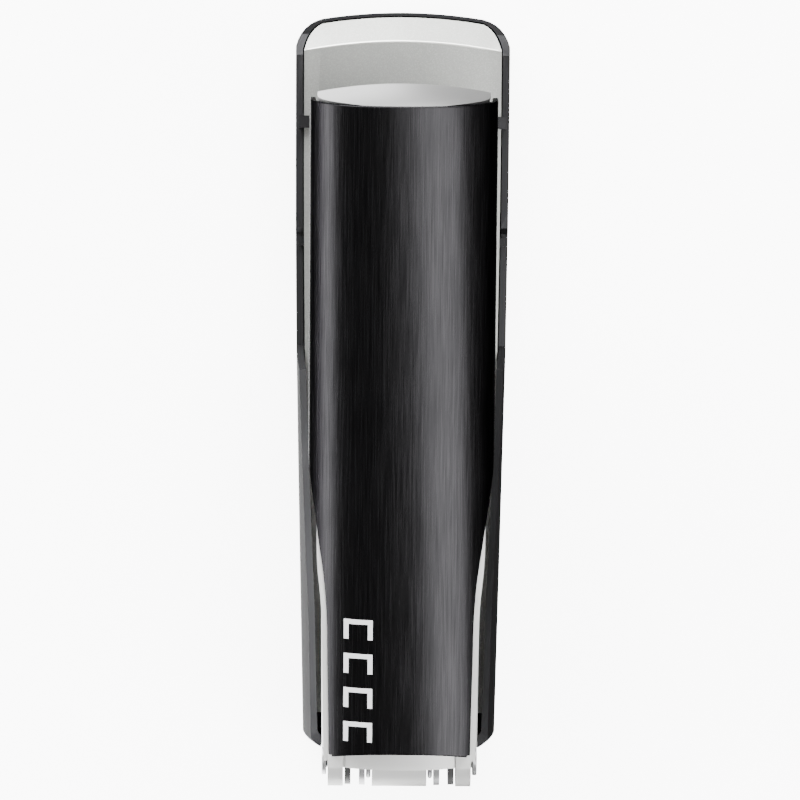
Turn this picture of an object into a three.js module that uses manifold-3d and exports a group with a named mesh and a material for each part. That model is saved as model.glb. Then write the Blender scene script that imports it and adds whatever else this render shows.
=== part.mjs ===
// Flip-top desk stapler, as an assembly of separate pieces.
// Millimetres, +Z up, front of the stapler towards -Y, z = 0 on the table.
// The magazine and the handle are drawn closed and level, and their groups are then
// turned about the hinge pin to the angles they spring back to at rest.
import * as THREE from "three";
import { mergeVertices } from "three/addons/utils/BufferGeometryUtils.js";
import Module from "manifold-3d";

const wasm = await Module();
wasm.setup();

// Driving dimensions
const LENGTH = 140;
const FRONT_HALF_WIDTH = 19.6;
const REAR_HALF_WIDTH = 17.5;
const GAP = 0.3; // between touching pieces
const SLIDE_GAP = 0.35; // between pieces that move past each other
const ROUND_STEPS = 28;

const HINGE_RADIUS = 4.6; // ears, arms and barrel round the pin
const HINGE_Z = 27;
const HINGE_Y = LENGTH / 2 - HINGE_RADIUS;
const PIN_RADIUS = 1.25;
const PIN_CLEARANCE = 0.1;
const PIN_HEAD_RADIUS = 2.6;
const PIN_HEAD_THICKNESS = 0.8;
const MAGAZINE_REST_DEG = 6.5; // how far the springs hold the magazine open
const HANDLE_REST_DEG = 4; // how far the handle stands above the magazine

const ARM_HALF_SPAN = 12.75; // the handle's arms, outside everything else on the pin

// Base
const SHELL_BOTTOM = 0.8;
const SHELL_FLOOR = 2;
const SHELL_WALL = 1.3;
const RIM_FRONT_WALL = 0.6; // the rim is thinner along its front edge
const RIM_FRONT_Z = 5.2;
const RIM_Z = 9.4;
const RECESS_Z = 7.6;
const FLANK_FRONT_Z = 17;
const FLANK_TOP_Z = 26.5;
const FLANK_LEAN = 0.095; // share of the width lost at the flank's top
const FLANK_LEAN_FROM_Z = 8;
const RIM_RAMP = [4, 8]; // from the front edge to the ramp's two ends
const RECESS_FRONT = 40.5; // from the front edge
const FLANK_START = 61; // from the front edge
const FLANK_CHAMFER = 4.5;
const REAR_MARGIN = 6; // base shell's rear face, from the overall rear end
const PLATE_TOP = 10;
const PLATE_THICKNESS = 1.2;
const LIP_LENGTH = 4.6;
const LIP_DROP = 3.7;
const FRONT_SAG = 2.1; // how far the front edge's arc falls back at its sides
const TAPER_START = 10; // from the front edge
const TAPER_POWER = 1.8; // how late the base narrows
const FRONT_FLAT = 0.75; // share of the front edge between its corners
const REAR_CORNER = [3.4, 2.6]; // width and length of the rear corners
const OUTLINE_STEP = 8; // between the points of the base's long sides
const SHELL_LAYERS = 7; // steps in height, for the flanks' lean
const REAR_OPENING = [ARM_HALF_SPAN + 1.3, 12]; // half width and depth of the shell's open rear
const RIB_THICKNESS = 1.6;
const RIB_PLACES = [-28, -6, 16, 44];
const TAB = [1.3, 2.2, 0.7]; // snap lugs over the plate
const FOOT = [26, 8, 1.5];
const FOOT_CORNER = 2;
const FOOT_RECESS = 0.9;
const FOOT_INSET = 12; // foot centre from the base's ends
const SCREW_RADIUS = 1.5;
const SCREW_HEAD_RADIUS = 2.9;
const SCREW_HEAD = 1.2;
const SCREW_INSETS = [16, 30]; // from the base shell's rear face

// Anvil
const ANVIL = [15, 9, 1]; // width, length and thickness
const ANVIL_CORNER = 1.5;
const ANVIL_LIFT = 1;
const GROOVE = [1.7, 0.5]; // width and depth of one clinching pocket
const GROOVES_INWARD = [0.6, 5.9]; // near and far end, from the middle
const GROOVES_OUTWARD = [2.1, 6.9];
const GROOVE_OFFSET = 2.3; // from the anvil's turning axis
const BUTTON_RADIUS = 5;
const POST_RADIUS = 2.2;
const POST_NECK_RADIUS = 1.2;

// Magazine, closed
const PAPER_SPACE = 0.8; // left over the lifted anvil for the paper
const STEEL = 0.8;
const STAPLE_CROWN = 12.7;
const STAPLE_HEIGHT = 6.5;
const STAPLE_WIRE = 0.5;
const STRIP_LENGTH = 41;
const CHANNEL_HEIGHT = 11;
const CHANNEL_REAR_INSET = 15; // channel's end in front of the hinge
const BLADE_THICKNESS = 0.6;
const BLADE_REACH = HINGE_Y + LENGTH / 2 - 18.4; // blade's distance from the hinge
const MAGAZINE_EAR_X = STAPLE_CROWN / 2 + 0.3;
const BASE_EAR_X = 9.2;
const EAR_THICKNESS = 1.05;
const SPRING_WIRE = [0.22, 13]; // follower spring's wire radius and turns
const ANVIL_SPRING_WIRE = [0.3, 3];
const LEAF = [7.2, 0.5]; // width and thickness of the handle's leaf spring
const LEAF_REACH = [10, 24, 36, 52]; // its curve, in front of the hinge
const LEAF_RISE = [0, 0, 7.6, 9.6]; // and above the yoke's shelf
const YOKE_SHELF = 10; // shelf's height over the yoke's web
const ROD_RADIUS = 0.9;
const ROD_SPRING_RADIUS = 2.2;
const FOLLOWER_LENGTH = 16;

// Handle, closed
const HANDLE_TOP = HINGE_Z + HINGE_RADIUS + 3.9;
const COVER_HALF_WIDTH = 16.5;
const COVER_ARCH = 12; // height of the cover's arched section
const COVER_POWER = 2.3; // roundness of that section
const COVER_WALL = 1;
const COVER_SKIRT = 14; // depth of the cover's side at the front
const COVER_FRONT_Y = HINGE_Y - BLADE_REACH - 1.6;
const COVER_REAR_INSET = 2.6; // cover's rear edge in front of the hinge
const FRAME_WALL = 1.2;
const FRAME_BAND = 3.3; // height of the frame's band under the cover's edge
const BAND_WIDTH = 2.6;
const ARM_THICKNESS = 2.7;
const NOSE_WALL = 1;
const NOSE_FRONT_Y = HINGE_Y - BLADE_REACH - 3.8;
const NOSE_BOTTOM = 19.8;
const NOSE_SAG = 1.5;
const HAIRPIN_X = MAGAZINE_EAR_X - 1.15;
const BARREL_HALF = HAIRPIN_X - 0.63;
const WIRE_RADIUS = 0.4;

const FRONT_Y = -LENGTH / 2;
const SHELL_REAR_Y = LENGTH / 2 - REAR_MARGIN;
const ANVIL_TOP = PLATE_TOP + GAP + ANVIL[2];
const MAGAZINE_BOTTOM = ANVIL_TOP + ANVIL_LIFT + PAPER_SPACE;

// Materials
const paint = (color, roughness, metalness) =>
  new THREE.MeshStandardMaterial({ color, roughness, metalness });
const BLACK_PLASTIC = () => paint(0x17171a, 0.55, 0);
const BLACK_BRUSHED = () => paint(0x121216, 0.35, 0.6);
const SILVER_PAINT = () => paint(0xbfc0bd, 0.45, 0.6);
const SATIN_SILVER = () => paint(0xcfcfcc, 0.3, 0.8);
const STEEL_SHEET = () => paint(0xa9aaac, 0.35, 1);
const DARK_STEEL = () => paint(0x3a3a3c, 0.4, 0.9);
const RUBBER = () => paint(0x101010, 0.9, 0);
const WHITE_PLASTIC = () => paint(0xd9d9d4, 0.5, 0);

// Solids -------------------------------------------------------------------

/** A closed three.js geometry as a manifold-3d solid. */
function solidOf(geometry) {
  const plain = geometry.clone();
  plain.deleteAttribute("normal");
  plain.deleteAttribute("uv");
  const merged = mergeVertices(plain, 1e-4);
  return new wasm.Manifold(
    new wasm.Mesh({
      numProp: 3,
      vertProperties: new Float32Array(merged.attributes.position.array),
      triVerts: new Uint32Array(merged.index.array),
    }),
  );
}

/** Moves each vertex of a geometry by a function of its place. */
function displaced(geometry, move) {
  const place = geometry.attributes.position;
  const point = new THREE.Vector3();
  for (let i = 0; i < place.count; i++) {
    move(point.fromBufferAttribute(place, i));
    place.setXYZ(i, point.x, point.y, point.z);
  }
  return geometry;
}

/** The smallest and largest of two numbers, as a range. */
const span = (a, b) => [Math.min(a, b), Math.max(a, b)];

function box(xs, ys, zs) {
  const [x0, x1] = span(...xs);
  const [y0, y1] = span(...ys);
  const [z0, z1] = span(...zs);
  const made = new THREE.BoxGeometry(x1 - x0, y1 - y0, z1 - z0);
  return solidOf(made.translate((x0 + x1) / 2, (y0 + y1) / 2, (z0 + z1) / 2));
}

function extruded(points, depth, steps = 1) {
  return new THREE.ExtrudeGeometry(new THREE.Shape(points), {
    depth,
    steps,
    bevelEnabled: false,
    curveSegments: ROUND_STEPS,
  });
}

/** An outline in X and Y, raised from z0 to z1. */
function raised(points, z0, z1, steps, move) {
  const made = extruded(points, z1 - z0, steps).translate(0, 0, z0);
  return solidOf(move ? displaced(made, move) : made);
}

/** An outline in Y and Z, drawn out from x0 to x1. */
function sideways(points, x0, x1, steps, move) {
  const axes = new THREE.Matrix4().set(0, 0, 1, x0, 1, 0, 0, 0, 0, 1, 0, 0, 0, 0, 0, 1);
  const made = extruded(points, x1 - x0, steps).applyMatrix4(axes);
  return solidOf(move ? displaced(made, move) : made);
}

/** An outline in X and Z, drawn out from y0 to y1. */
function lengthways(points, y0, y1) {
  const made = extruded(points, y1 - y0).rotateX(Math.PI / 2);
  return solidOf(made.translate(0, y1, 0));
}

function rod(axis, radius, from, to, centre = [0, 0]) {
  const made = new THREE.CylinderGeometry(radius, radius, to - from, ROUND_STEPS);
  const middle = (from + to) / 2;
  const [a, b] = centre;
  if (axis === "x") made.rotateZ(-Math.PI / 2).translate(middle, a, b);
  if (axis === "y") made.translate(a, middle, b);
  if (axis === "z") made.rotateX(Math.PI / 2).translate(a, b, middle);
  return solidOf(made);
}

/** A round wire along a curve. */
function wire(curve, radius, steps, sides) {
  const section = new THREE.Shape();
  section.absarc(0, 0, radius, 0, 2 * Math.PI);
  const made = new THREE.ExtrudeGeometry(section, {
    extrudePath: curve,
    steps,
    curveSegments: sides,
    bevelEnabled: false,
  });
  return solidOf(made);
}

const union = (...solids) => solids.reduce((all, next) => all.add(next));
const without = (solid, ...cuts) => cuts.reduce((left, cut) => left.subtract(cut), solid);
const v2 = (x, y) => new THREE.Vector2(x, y);

/** Both sides of an outline whose points are given for +X, from front to rear. */
const bothSides = (points) => [
  ...points,
  ...points.toReversed().map((p) => v2(-p.x, p.y)),
];

function node(name, solid, material) {
  const mesh = solid.getMesh();
  const places = new Float32Array(mesh.numVert * 3);
  for (let i = 0; i < mesh.numVert; i++) {
    const start = i * mesh.numProp;
    places.set(mesh.vertProperties.subarray(start, start + 3), i * 3);
  }
  const geometry = new THREE.BufferGeometry();
  geometry.setAttribute("position", new THREE.BufferAttribute(places, 3));
  geometry.setIndex(new THREE.BufferAttribute(mesh.triVerts, 1));
  geometry.computeVertexNormals();
  const made = new THREE.Mesh(geometry, material);
  made.name = name;
  return made;
}

/** A group turned up about the hinge pin. */
function turnedAboutHinge(degrees, meshes) {
  const inner = new THREE.Group();
  inner.position.set(0, -HINGE_Y, -HINGE_Z);
  inner.add(...meshes);
  const outer = new THREE.Group();
  outer.position.set(0, HINGE_Y, HINGE_Z);
  outer.rotation.x = -THREE.MathUtils.degToRad(degrees);
  outer.add(inner);
  return outer;
}

const pinHole = (half = LENGTH) =>
  rod("x", PIN_RADIUS + PIN_CLEARANCE, -half, half, [HINGE_Y, HINGE_Z]);

/** Outline in Y and Z of an ear: round at the pin, reaching down and forward to a foot. */
function earOutline(radius, footY, footLow, footHigh) {
  const points = [v2(footY, footLow)];
  const turns = ROUND_STEPS / 2;
  const from = THREE.MathUtils.degToRad(-50);
  const to = THREE.MathUtils.degToRad(110);
  for (let i = 0; i <= turns; i++) {
    const angle = from + ((to - from) * i) / turns;
    points.push(v2(HINGE_Y + radius * Math.cos(angle), HINGE_Z + radius * Math.sin(angle)));
  }
  points.push(v2(footY, footHigh));
  return points;
}

// Base ---------------------------------------------------------------------

/** Half the base's width, a distance y along it. */
function baseHalfWidth(y) {
  const start = FRONT_Y + TAPER_START;
  const share = Math.max(0, (y - start) / (SHELL_REAR_Y - REAR_CORNER[1] - start));
  return FRONT_HALF_WIDTH - (FRONT_HALF_WIDTH - REAR_HALF_WIDTH) * share ** TAPER_POWER;
}

/** The base's outline from above, drawn in by an inset, which can differ at its front. */
function baseOutline(inset, frontInset = inset) {
  const flatHalf = FRONT_FLAT * FRONT_HALF_WIDTH;
  const front = FRONT_Y + frontInset;
  const points = [];
  for (let i = 0; i <= 6; i++) {
    const x = (flatHalf * i) / 6;
    points.push(v2(x, front + FRONT_SAG * (x / FRONT_HALF_WIDTH) ** 2));
  }
  const corner = new THREE.QuadraticBezierCurve(
    points.at(-1),
    v2(FRONT_HALF_WIDTH - inset - 0.9, front + FRONT_SAG + 0.1),
    v2(FRONT_HALF_WIDTH - inset, front + 3 * FRONT_SAG),
  );
  points.push(...corner.getPoints(6).slice(1));
  const rear = SHELL_REAR_Y - inset;
  const [cornerWidth, cornerLength] = REAR_CORNER;
  for (let y = FRONT_Y + TAPER_START + 2; y < rear - 2 * cornerLength; y += OUTLINE_STEP) {
    points.push(v2(baseHalfWidth(y) - inset, y));
  }
  const side = REAR_HALF_WIDTH - inset;
  const rearCorner = new THREE.QuadraticBezierCurve(
    v2(side, rear - cornerLength),
    v2(side - 0.4, rear - cornerLength / 2),
    v2(side - cornerWidth, rear - 0.3),
  );
  points.push(...rearCorner.getPoints(5));
  points.push(v2(0, rear));
  const other = points.slice(1, -1).toReversed();
  return [...points, ...other.map((p) => v2(-p.x, p.y))];
}

/** The flanks lean inwards above the rim. */
function lean(point) {
  const share = Math.max(0, point.z - FLANK_LEAN_FROM_Z) / (FLANK_TOP_Z - FLANK_LEAN_FROM_Z);
  point.x *= 1 - FLANK_LEAN * share ** 1.5;
}

/** The base shell's outline from the side. */
function shellSideOutline(low) {
  const reach = LENGTH;
  return [
    v2(-reach, low),
    v2(reach, low),
    v2(reach, FLANK_TOP_Z - 1),
    v2(SHELL_REAR_Y - 1, FLANK_TOP_Z - 1),
    v2(SHELL_REAR_Y - 4, FLANK_TOP_Z),
    v2(SHELL_REAR_Y - 24, FLANK_TOP_Z),
    v2(FRONT_Y + FLANK_START + FLANK_CHAMFER, FLANK_FRONT_Z),
    v2(FRONT_Y + FLANK_START, RECESS_Z),
    v2(FRONT_Y + RECESS_FRONT, RECESS_Z),
    v2(FRONT_Y + RECESS_FRONT - 1, RIM_Z),
    v2(FRONT_Y + RIM_RAMP[1], RIM_Z),
    v2(FRONT_Y + RIM_RAMP[0], RIM_FRONT_Z + 0.8),
    v2(-reach, RIM_FRONT_Z - 1),
  ];
}

// Where the blade's tip leaves the magazine, and the anvil's axis behind it
const TIP_DROP = HINGE_Z - MAGAZINE_BOTTOM;
const EXIT_Y = HINGE_Y - Math.sqrt(BLADE_REACH ** 2 - TIP_DROP ** 2);
const ANVIL_Y = EXIT_Y + GROOVE_OFFSET;
const SCREW_PLACES = SCREW_INSETS.map((inset) => SHELL_REAR_Y - inset);
const FOOT_PLACES = [FRONT_Y + FOOT_INSET, SHELL_REAR_Y - FOOT_INSET + 3];

function footPocket(y) {
  const [width, length] = FOOT;
  const [x, half] = [width / 2 + GAP, length / 2 + GAP];
  return box([-x, x], [y - half, y + half], [-1, SHELL_BOTTOM + FOOT_RECESS]);
}

function baseShell() {
  const top = FLANK_TOP_Z + 2;
  const outer = raised(baseOutline(0), SHELL_BOTTOM, top, SHELL_LAYERS, lean).intersect(
    sideways(shellSideOutline(-1), -LENGTH, LENGTH),
  );
  const floor = SHELL_BOTTOM + SHELL_FLOOR;
  const cavity = baseOutline(SHELL_WALL, RIM_FRONT_WALL);
  const hollow = raised(cavity, floor, top + 1, SHELL_LAYERS, lean);
  const ribTop = PLATE_TOP - PLATE_THICKNESS - GAP;
  const [openHalf, openDepth] = REAR_OPENING;
  const rear = box([-openHalf, openHalf], [SHELL_REAR_Y - openDepth, LENGTH], [ribTop, top]);
  const ribs = RIB_PLACES.map((y) => {
    const x = baseHalfWidth(y) - SHELL_WALL / 2;
    return box([-x, x], [y - RIB_THICKNESS / 2, y + RIB_THICKNESS / 2], [floor - 0.5, ribTop]);
  });
  const bosses = SCREW_PLACES.map((y) => rod("z", SCREW_RADIUS + 2, floor - 0.5, ribTop, [0, y]));
  const tabs = [-1, 1].map((side) => {
    const out = baseHalfWidth(EXIT_Y) - SHELL_WALL / 2;
    const [width, length, height] = TAB;
    const low = PLATE_TOP + GAP;
    const root = out - SHELL_WALL / 2;
    const ys = [EXIT_Y, EXIT_Y + length];
    const lug = box([side * (root - width), side * out], ys, [low, low + height]);
    const stem = box([side * root, side * out], ys, [floor, low + height]);
    return lug.add(stem);
  });
  const screwHoles = SCREW_PLACES.flatMap((y) => [
    rod("z", SCREW_RADIUS + PIN_CLEARANCE, -1, PLATE_TOP, [0, y]),
    rod("z", SCREW_HEAD_RADIUS + GAP, -1, SHELL_BOTTOM + SCREW_HEAD, [0, y]),
  ]);
  const buttonHole = rod("z", BUTTON_RADIUS + SLIDE_GAP, -1, floor + 1, [0, ANVIL_Y]);
  return without(
    union(without(outer, hollow, rear), ...ribs, ...bosses, ...tabs),
    buttonHole,
    ...screwHoles,
    ...FOOT_PLACES.map(footPocket),
  );
}

function basePlate() {
  const outline = baseOutline(SHELL_WALL + GAP, RIM_FRONT_WALL + GAP);
  const crease = FRONT_Y + LIP_LENGTH + 0.9;
  const tip = FRONT_Y - 1;
  const slope = LIP_DROP / LIP_LENGTH;
  const tipDropZ = slope * (crease - tip);
  const top = PLATE_TOP;
  const rear = SHELL_REAR_Y - 6;
  const profile = [
    v2(tip, top - tipDropZ - PLATE_THICKNESS),
    v2(crease, top - PLATE_THICKNESS),
    v2(rear, top - PLATE_THICKNESS),
    v2(rear, top),
    v2(crease, top),
    v2(tip, top - tipDropZ),
  ];
  const bow = (point) => {
    const fade = THREE.MathUtils.clamp((-point.y - 20) / 25, 0, 1);
    point.y += fade * FRONT_SAG * (point.x / FRONT_HALF_WIDTH) ** 2;
  };
  const half = FRONT_HALF_WIDTH;
  const sheet = sideways(profile, -half, half, 18, bow);
  const trimmed = sheet.intersect(raised(outline, 0, top + 1));
  const anvilHole = rod("z", POST_RADIUS + SLIDE_GAP, 0, top + 1, [0, ANVIL_Y]);
  const screwHoles = SCREW_PLACES.map((y) =>
    rod("z", SCREW_RADIUS + PIN_CLEARANCE, 0, top + 1, [0, y]),
  );
  return without(trimmed, anvilHole, ...screwHoles);
}

/** A flat block with rounded corners, centred on a distance y. */
function roundedBlock([width, length, height], corner, y, low) {
  const shape = new THREE.Shape();
  const [x, half] = [width / 2 - corner, length / 2 - corner];
  shape.absarc(x, y + half, corner, 0, Math.PI / 2);
  shape.absarc(-x, y + half, corner, Math.PI / 2, Math.PI);
  shape.absarc(-x, y - half, corner, Math.PI, 1.5 * Math.PI);
  shape.absarc(x, y - half, corner, 1.5 * Math.PI, 2 * Math.PI);
  return raised(shape.getPoints(5), low, low + height);
}

const foot = (y) => roundedBlock(FOOT, FOOT_CORNER, y, 0);

/** The dark steel bracket on the base, whose ears hold the pin. */
function baseBracket() {
  const low = PLATE_TOP + GAP;
  const high = low + EAR_THICKNESS;
  const half = BASE_EAR_X + EAR_THICKNESS / 2;
  const front = SHELL_REAR_Y - 36;
  const web = box([-half, half], [front, SHELL_REAR_Y - 7], [low, high]);
  const ears = [-1, 1].map((side) => {
    const [x0, x1] = span(side * (half - EAR_THICKNESS), side * half);
    return sideways(earOutline(HINGE_RADIUS - 0.3, SHELL_REAR_Y - 20, low, low + 5), x0, x1);
  });
  const holes = SCREW_PLACES.map((y) =>
    rod("z", SCREW_RADIUS + PIN_CLEARANCE, low - 1, high + 1, [0, y]),
  );
  return without(union(web, ...ears), pinHole(), ...holes);
}

function baseScrew(y) {
  const seat = SHELL_BOTTOM + SCREW_HEAD - GAP;
  const head = rod("z", SCREW_HEAD_RADIUS, seat - SCREW_HEAD + 0.4, seat, [0, y]);
  const slot = 0.35;
  const cross = [
    box([-1.8, 1.8], [y - slot, y + slot], [0, seat - 0.5]),
    box([-slot, slot], [y - 1.8, y + 1.8], [0, seat - 0.5]),
  ];
  const shank = rod("z", SCREW_RADIUS, seat - 0.1, PLATE_TOP + 1.5, [0, y]);
  return without(union(head, shank), ...cross);
}

function hingePin() {
  const end = ARM_HALF_SPAN + GAP;
  const shaft = rod("x", PIN_RADIUS, -end - PIN_HEAD_THICKNESS, end + 0.1, [HINGE_Y, HINGE_Z]);
  const head = rod("x", PIN_HEAD_RADIUS, end, end + PIN_HEAD_THICKNESS, [HINGE_Y, HINGE_Z]);
  return shaft.add(head);
}

function pinWasher() {
  const end = ARM_HALF_SPAN + GAP;
  const disc = rod("x", PIN_HEAD_RADIUS, -end - PIN_HEAD_THICKNESS, -end, [HINGE_Y, HINGE_Z]);
  return disc.subtract(pinHole());
}

const CAP_LOW = SHELL_BOTTOM + 0.4;
const CAP_HEIGHT = 2.6;

function anvilButton() {
  const at = [0, ANVIL_Y];
  const plateLow = ANVIL_TOP - ANVIL[2];
  const cap = rod("z", BUTTON_RADIUS, CAP_LOW, CAP_LOW + CAP_HEIGHT, at);
  const post = rod("z", POST_RADIUS, CAP_LOW + 1, plateLow - 0.2, at);
  const neck = rod("z", POST_NECK_RADIUS, plateLow - 1, ANVIL_TOP - 0.1, at);
  return union(cap, post, neck);
}

/** The anvil, with pockets that turn staple legs inwards at its front and outwards behind. */
function anvilPlate() {
  const low = ANVIL_TOP - ANVIL[2];
  const block = roundedBlock(ANVIL, ANVIL_CORNER, ANVIL_Y, low);
  const [width, depth] = GROOVE;
  const pocketsAt = (y, [near, far]) =>
    [-1, 1].map((side) =>
      box(
        [side * near, side * far],
        [y - width / 2, y + width / 2],
        [ANVIL_TOP - depth, ANVIL_TOP + 1],
      ),
    );
  const pockets = [
    ...pocketsAt(ANVIL_Y - GROOVE_OFFSET, GROOVES_INWARD),
    ...pocketsAt(ANVIL_Y + GROOVE_OFFSET, GROOVES_OUTWARD),
  ];
  const neckHole = POST_NECK_RADIUS + PIN_CLEARANCE;
  return without(block, rod("z", neckHole, low - 1, ANVIL_TOP + 1, [0, ANVIL_Y]), ...pockets);
}

/** A helix along an axis, for coil springs. */
class Helix extends THREE.Curve {
  constructor(start, end, radius, turns) {
    super();
    Object.assign(this, { start, end, radius, turns });
  }

  getPoint(share, target = new THREE.Vector3()) {
    const angle = 2 * Math.PI * this.turns * share;
    const along = this.end.clone().sub(this.start);
    const side = new THREE.Vector3(1, 0, 0);
    const other = along.clone().normalize().cross(side);
    return target
      .copy(this.start)
      .addScaledVector(along, share)
      .addScaledVector(side, this.radius * Math.cos(angle))
      .addScaledVector(other, this.radius * Math.sin(angle));
  }
}

function coil(start, end, radius, wireRadius, turns) {
  return wire(new Helix(start, end, radius, turns), wireRadius, Math.round(turns * 10), 3);
}

function anvilSpring() {
  const low = CAP_LOW + CAP_HEIGHT + GAP + 0.35;
  const high = PLATE_TOP - PLATE_THICKNESS - GAP - 0.35;
  const at = (z) => new THREE.Vector3(0, ANVIL_Y, z);
  return coil(at(low), at(high), POST_RADIUS + 1, ...ANVIL_SPRING_WIRE);
}

// Magazine, closed -----------------------------------------------------------

const CHANNEL_HALF = STAPLE_CROWN / 2 + 0.25;
const CHANNEL_OUT = CHANNEL_HALF + STEEL;
const FLOOR_TOP = MAGAZINE_BOTTOM + STEEL;
const CHANNEL_REAR = HINGE_Y - CHANNEL_REAR_INSET;
const SLOT_FRONT = HINGE_Y - BLADE_REACH - BLADE_THICKNESS / 2 - SLIDE_GAP;
const SLOT_REAR =
  HINGE_Y - Math.sqrt((BLADE_REACH - BLADE_THICKNESS / 2) ** 2 - TIP_DROP ** 2) + SLIDE_GAP;
const STRIP_TOP = FLOOR_TOP + 0.7 + STAPLE_HEIGHT;
const RAIL_TOP = STRIP_TOP - STAPLE_WIRE - GAP;
const RAIL_HALF = STAPLE_CROWN / 2 - STAPLE_WIRE - 0.45;
const STRIP_REAR = SLOT_REAR + STRIP_LENGTH;
const FOLLOWER_FRONT = STRIP_REAR + 0.5;
const ROD_Z = RAIL_TOP - STEEL - ROD_SPRING_RADIUS - 0.9;
const ROD_REAR = CHANNEL_REAR - 3;
const RAIL_SLOT_HALF = 1.3;

function magazineChannel() {
  const top = MAGAZINE_BOTTOM + CHANNEL_HEIGHT;
  const low = MAGAZINE_BOTTOM;
  const floor = box([-CHANNEL_OUT, CHANNEL_OUT], [SLOT_REAR, CHANNEL_REAR], [low, FLOOR_TOP]);
  const walls = [-1, 1].map((side) =>
    sideways(
      [
        v2(SLOT_FRONT + GAP, low),
        v2(CHANNEL_REAR, low),
        v2(CHANNEL_REAR, top - 2),
        v2(CHANNEL_REAR - 4, top),
        v2(SLOT_FRONT + GAP, top),
      ],
      ...span(side * CHANNEL_HALF, side * CHANNEL_OUT),
    ),
  );
  return union(floor, ...walls);
}

function frontPlate() {
  const top = MAGAZINE_BOTTOM + CHANNEL_HEIGHT;
  return box([-CHANNEL_OUT, CHANNEL_OUT], [SLOT_FRONT - STEEL, SLOT_FRONT], [MAGAZINE_BOTTOM, top]);
}

function stapleRail() {
  const low = FLOOR_TOP + GAP;
  const body = box([-RAIL_HALF, RAIL_HALF], [SLOT_REAR, ROD_REAR + 1], [low, RAIL_TOP]);
  const inner = RAIL_HALF - STEEL;
  const hollow = box([-inner, inner], [SLOT_REAR - 1, ROD_REAR + 5], [low - 1, RAIL_TOP - STEEL]);
  const slot = box(
    [-RAIL_SLOT_HALF, RAIL_SLOT_HALF],
    [SLOT_REAR + 6, ROD_REAR - 3],
    [low, RAIL_TOP + 1],
  );
  return without(body, hollow, slot);
}

function rodBlock(y0, y1) {
  const half = RAIL_HALF - STEEL - GAP;
  const block = box([-half, half], [y0, y1], [FLOOR_TOP + GAP, RAIL_TOP - STEEL - GAP]);
  return block.subtract(rod("y", ROD_RADIUS + PIN_CLEARANCE, y0 - 1, y1 + 1, [0, ROD_Z]));
}

const ROD_BLOCKS = {
  front_rod_block: [SLOT_REAR + 0.5, SLOT_REAR + 3],
  rear_rod_block: [ROD_REAR - 2.5, ROD_REAR],
};

function followerRod() {
  return rod("y", ROD_RADIUS, ROD_BLOCKS.front_rod_block[0] + 0.4, ROD_REAR - 0.4, [0, ROD_Z]);
}

function stapleStrip() {
  const half = STAPLE_CROWN / 2;
  const low = STRIP_TOP - STAPLE_HEIGHT;
  const block = box([-half, half], [SLOT_REAR, STRIP_REAR], [low, STRIP_TOP]);
  const inner = half - STAPLE_WIRE;
  const under = box(
    [-inner, inner],
    [SLOT_REAR - 1, STRIP_REAR + 1],
    [low - 1, STRIP_TOP - STAPLE_WIRE],
  );
  return block.subtract(under);
}

function follower() {
  const half = STAPLE_CROWN / 2 - 0.1;
  const rear = FOLLOWER_FRONT + FOLLOWER_LENGTH;
  const low = FLOOR_TOP + 0.7;
  const top = STRIP_TOP + 2;
  const saddle = box([-half, half], [FOLLOWER_FRONT, rear], [low, top]);
  const straddle = box(
    [-RAIL_HALF - SLIDE_GAP, RAIL_HALF + SLIDE_GAP],
    [FOLLOWER_FRONT - 1, rear + 1],
    [low - 1, RAIL_TOP + SLIDE_GAP],
  );
  const notch = box([-half - 1, half + 1], [FOLLOWER_FRONT + 5, rear + 1], [low - 1, low + 4]);
  const stemHalf = RAIL_SLOT_HALF - SLIDE_GAP;
  const [bushFront, bushRear] = [FOLLOWER_FRONT + 1, FOLLOWER_FRONT + 7];
  const stem = box([-stemHalf, stemHalf], [bushFront, bushRear], [ROD_Z, top - 1]);
  const bushHalf = ROD_SPRING_RADIUS;
  const bush = box(
    [-bushHalf, bushHalf],
    [bushFront, bushRear],
    [ROD_Z - bushHalf, ROD_Z + bushHalf],
  );
  const bore = rod("y", ROD_RADIUS + SLIDE_GAP, bushFront - 1, bushRear + 1, [0, ROD_Z]);
  return union(without(saddle, straddle, notch), stem, bush).subtract(bore);
}

function followerSpring() {
  const at = (y) => new THREE.Vector3(0, y, ROD_Z);
  const start = at(FOLLOWER_FRONT + 7 + GAP + 0.25);
  const end = at(ROD_BLOCKS.rear_rod_block[0] - GAP - 0.25);
  return coil(start, end, ROD_SPRING_RADIUS - 0.4, ...SPRING_WIRE);
}

const SHELF_TOP = FLOOR_TOP + GAP + YOKE_SHELF;

/** The yoke riveted to the channel's rear end, whose ears turn on the pin. */
function magazineYoke() {
  const low = FLOOR_TOP + GAP;
  const half = MAGAZINE_EAR_X + EAR_THICKNESS / 2;
  const webHalf = half - EAR_THICKNESS + 0.2;
  const start = ROD_REAR + 1 + 0.4;
  const web = box([-webHalf, webHalf], [start, HINGE_Y - 8], [low, low + STEEL]);
  const earStart = CHANNEL_REAR + GAP;
  const ears = [-1, 1].map((side) => {
    const outline = earOutline(HINGE_RADIUS - 0.2, earStart, low, low + YOKE_SHELF);
    return sideways(outline, ...span(side * (half - EAR_THICKNESS), side * half));
  });
  const shelf = box([-half, half], [earStart, HINGE_Y - 8], [SHELF_TOP - STEEL, SHELF_TOP]);
  return without(union(web, ...ears, shelf), pinHole());
}

/** The leaf spring that lifts the handle off the magazine. */
function handleSpring() {
  const [width, thick] = LEAF;
  const bends = LEAF_REACH.map((reach, i) => v2(HINGE_Y - reach, SHELF_TOP + GAP + LEAF_RISE[i]));
  const lower = new THREE.CubicBezierCurve(...bends).getPoints(12);
  const outline = [...lower, ...lower.toReversed().map((p) => v2(p.x, p.y + thick))];
  return sideways(outline.toReversed(), -width / 2, width / 2);
}

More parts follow.
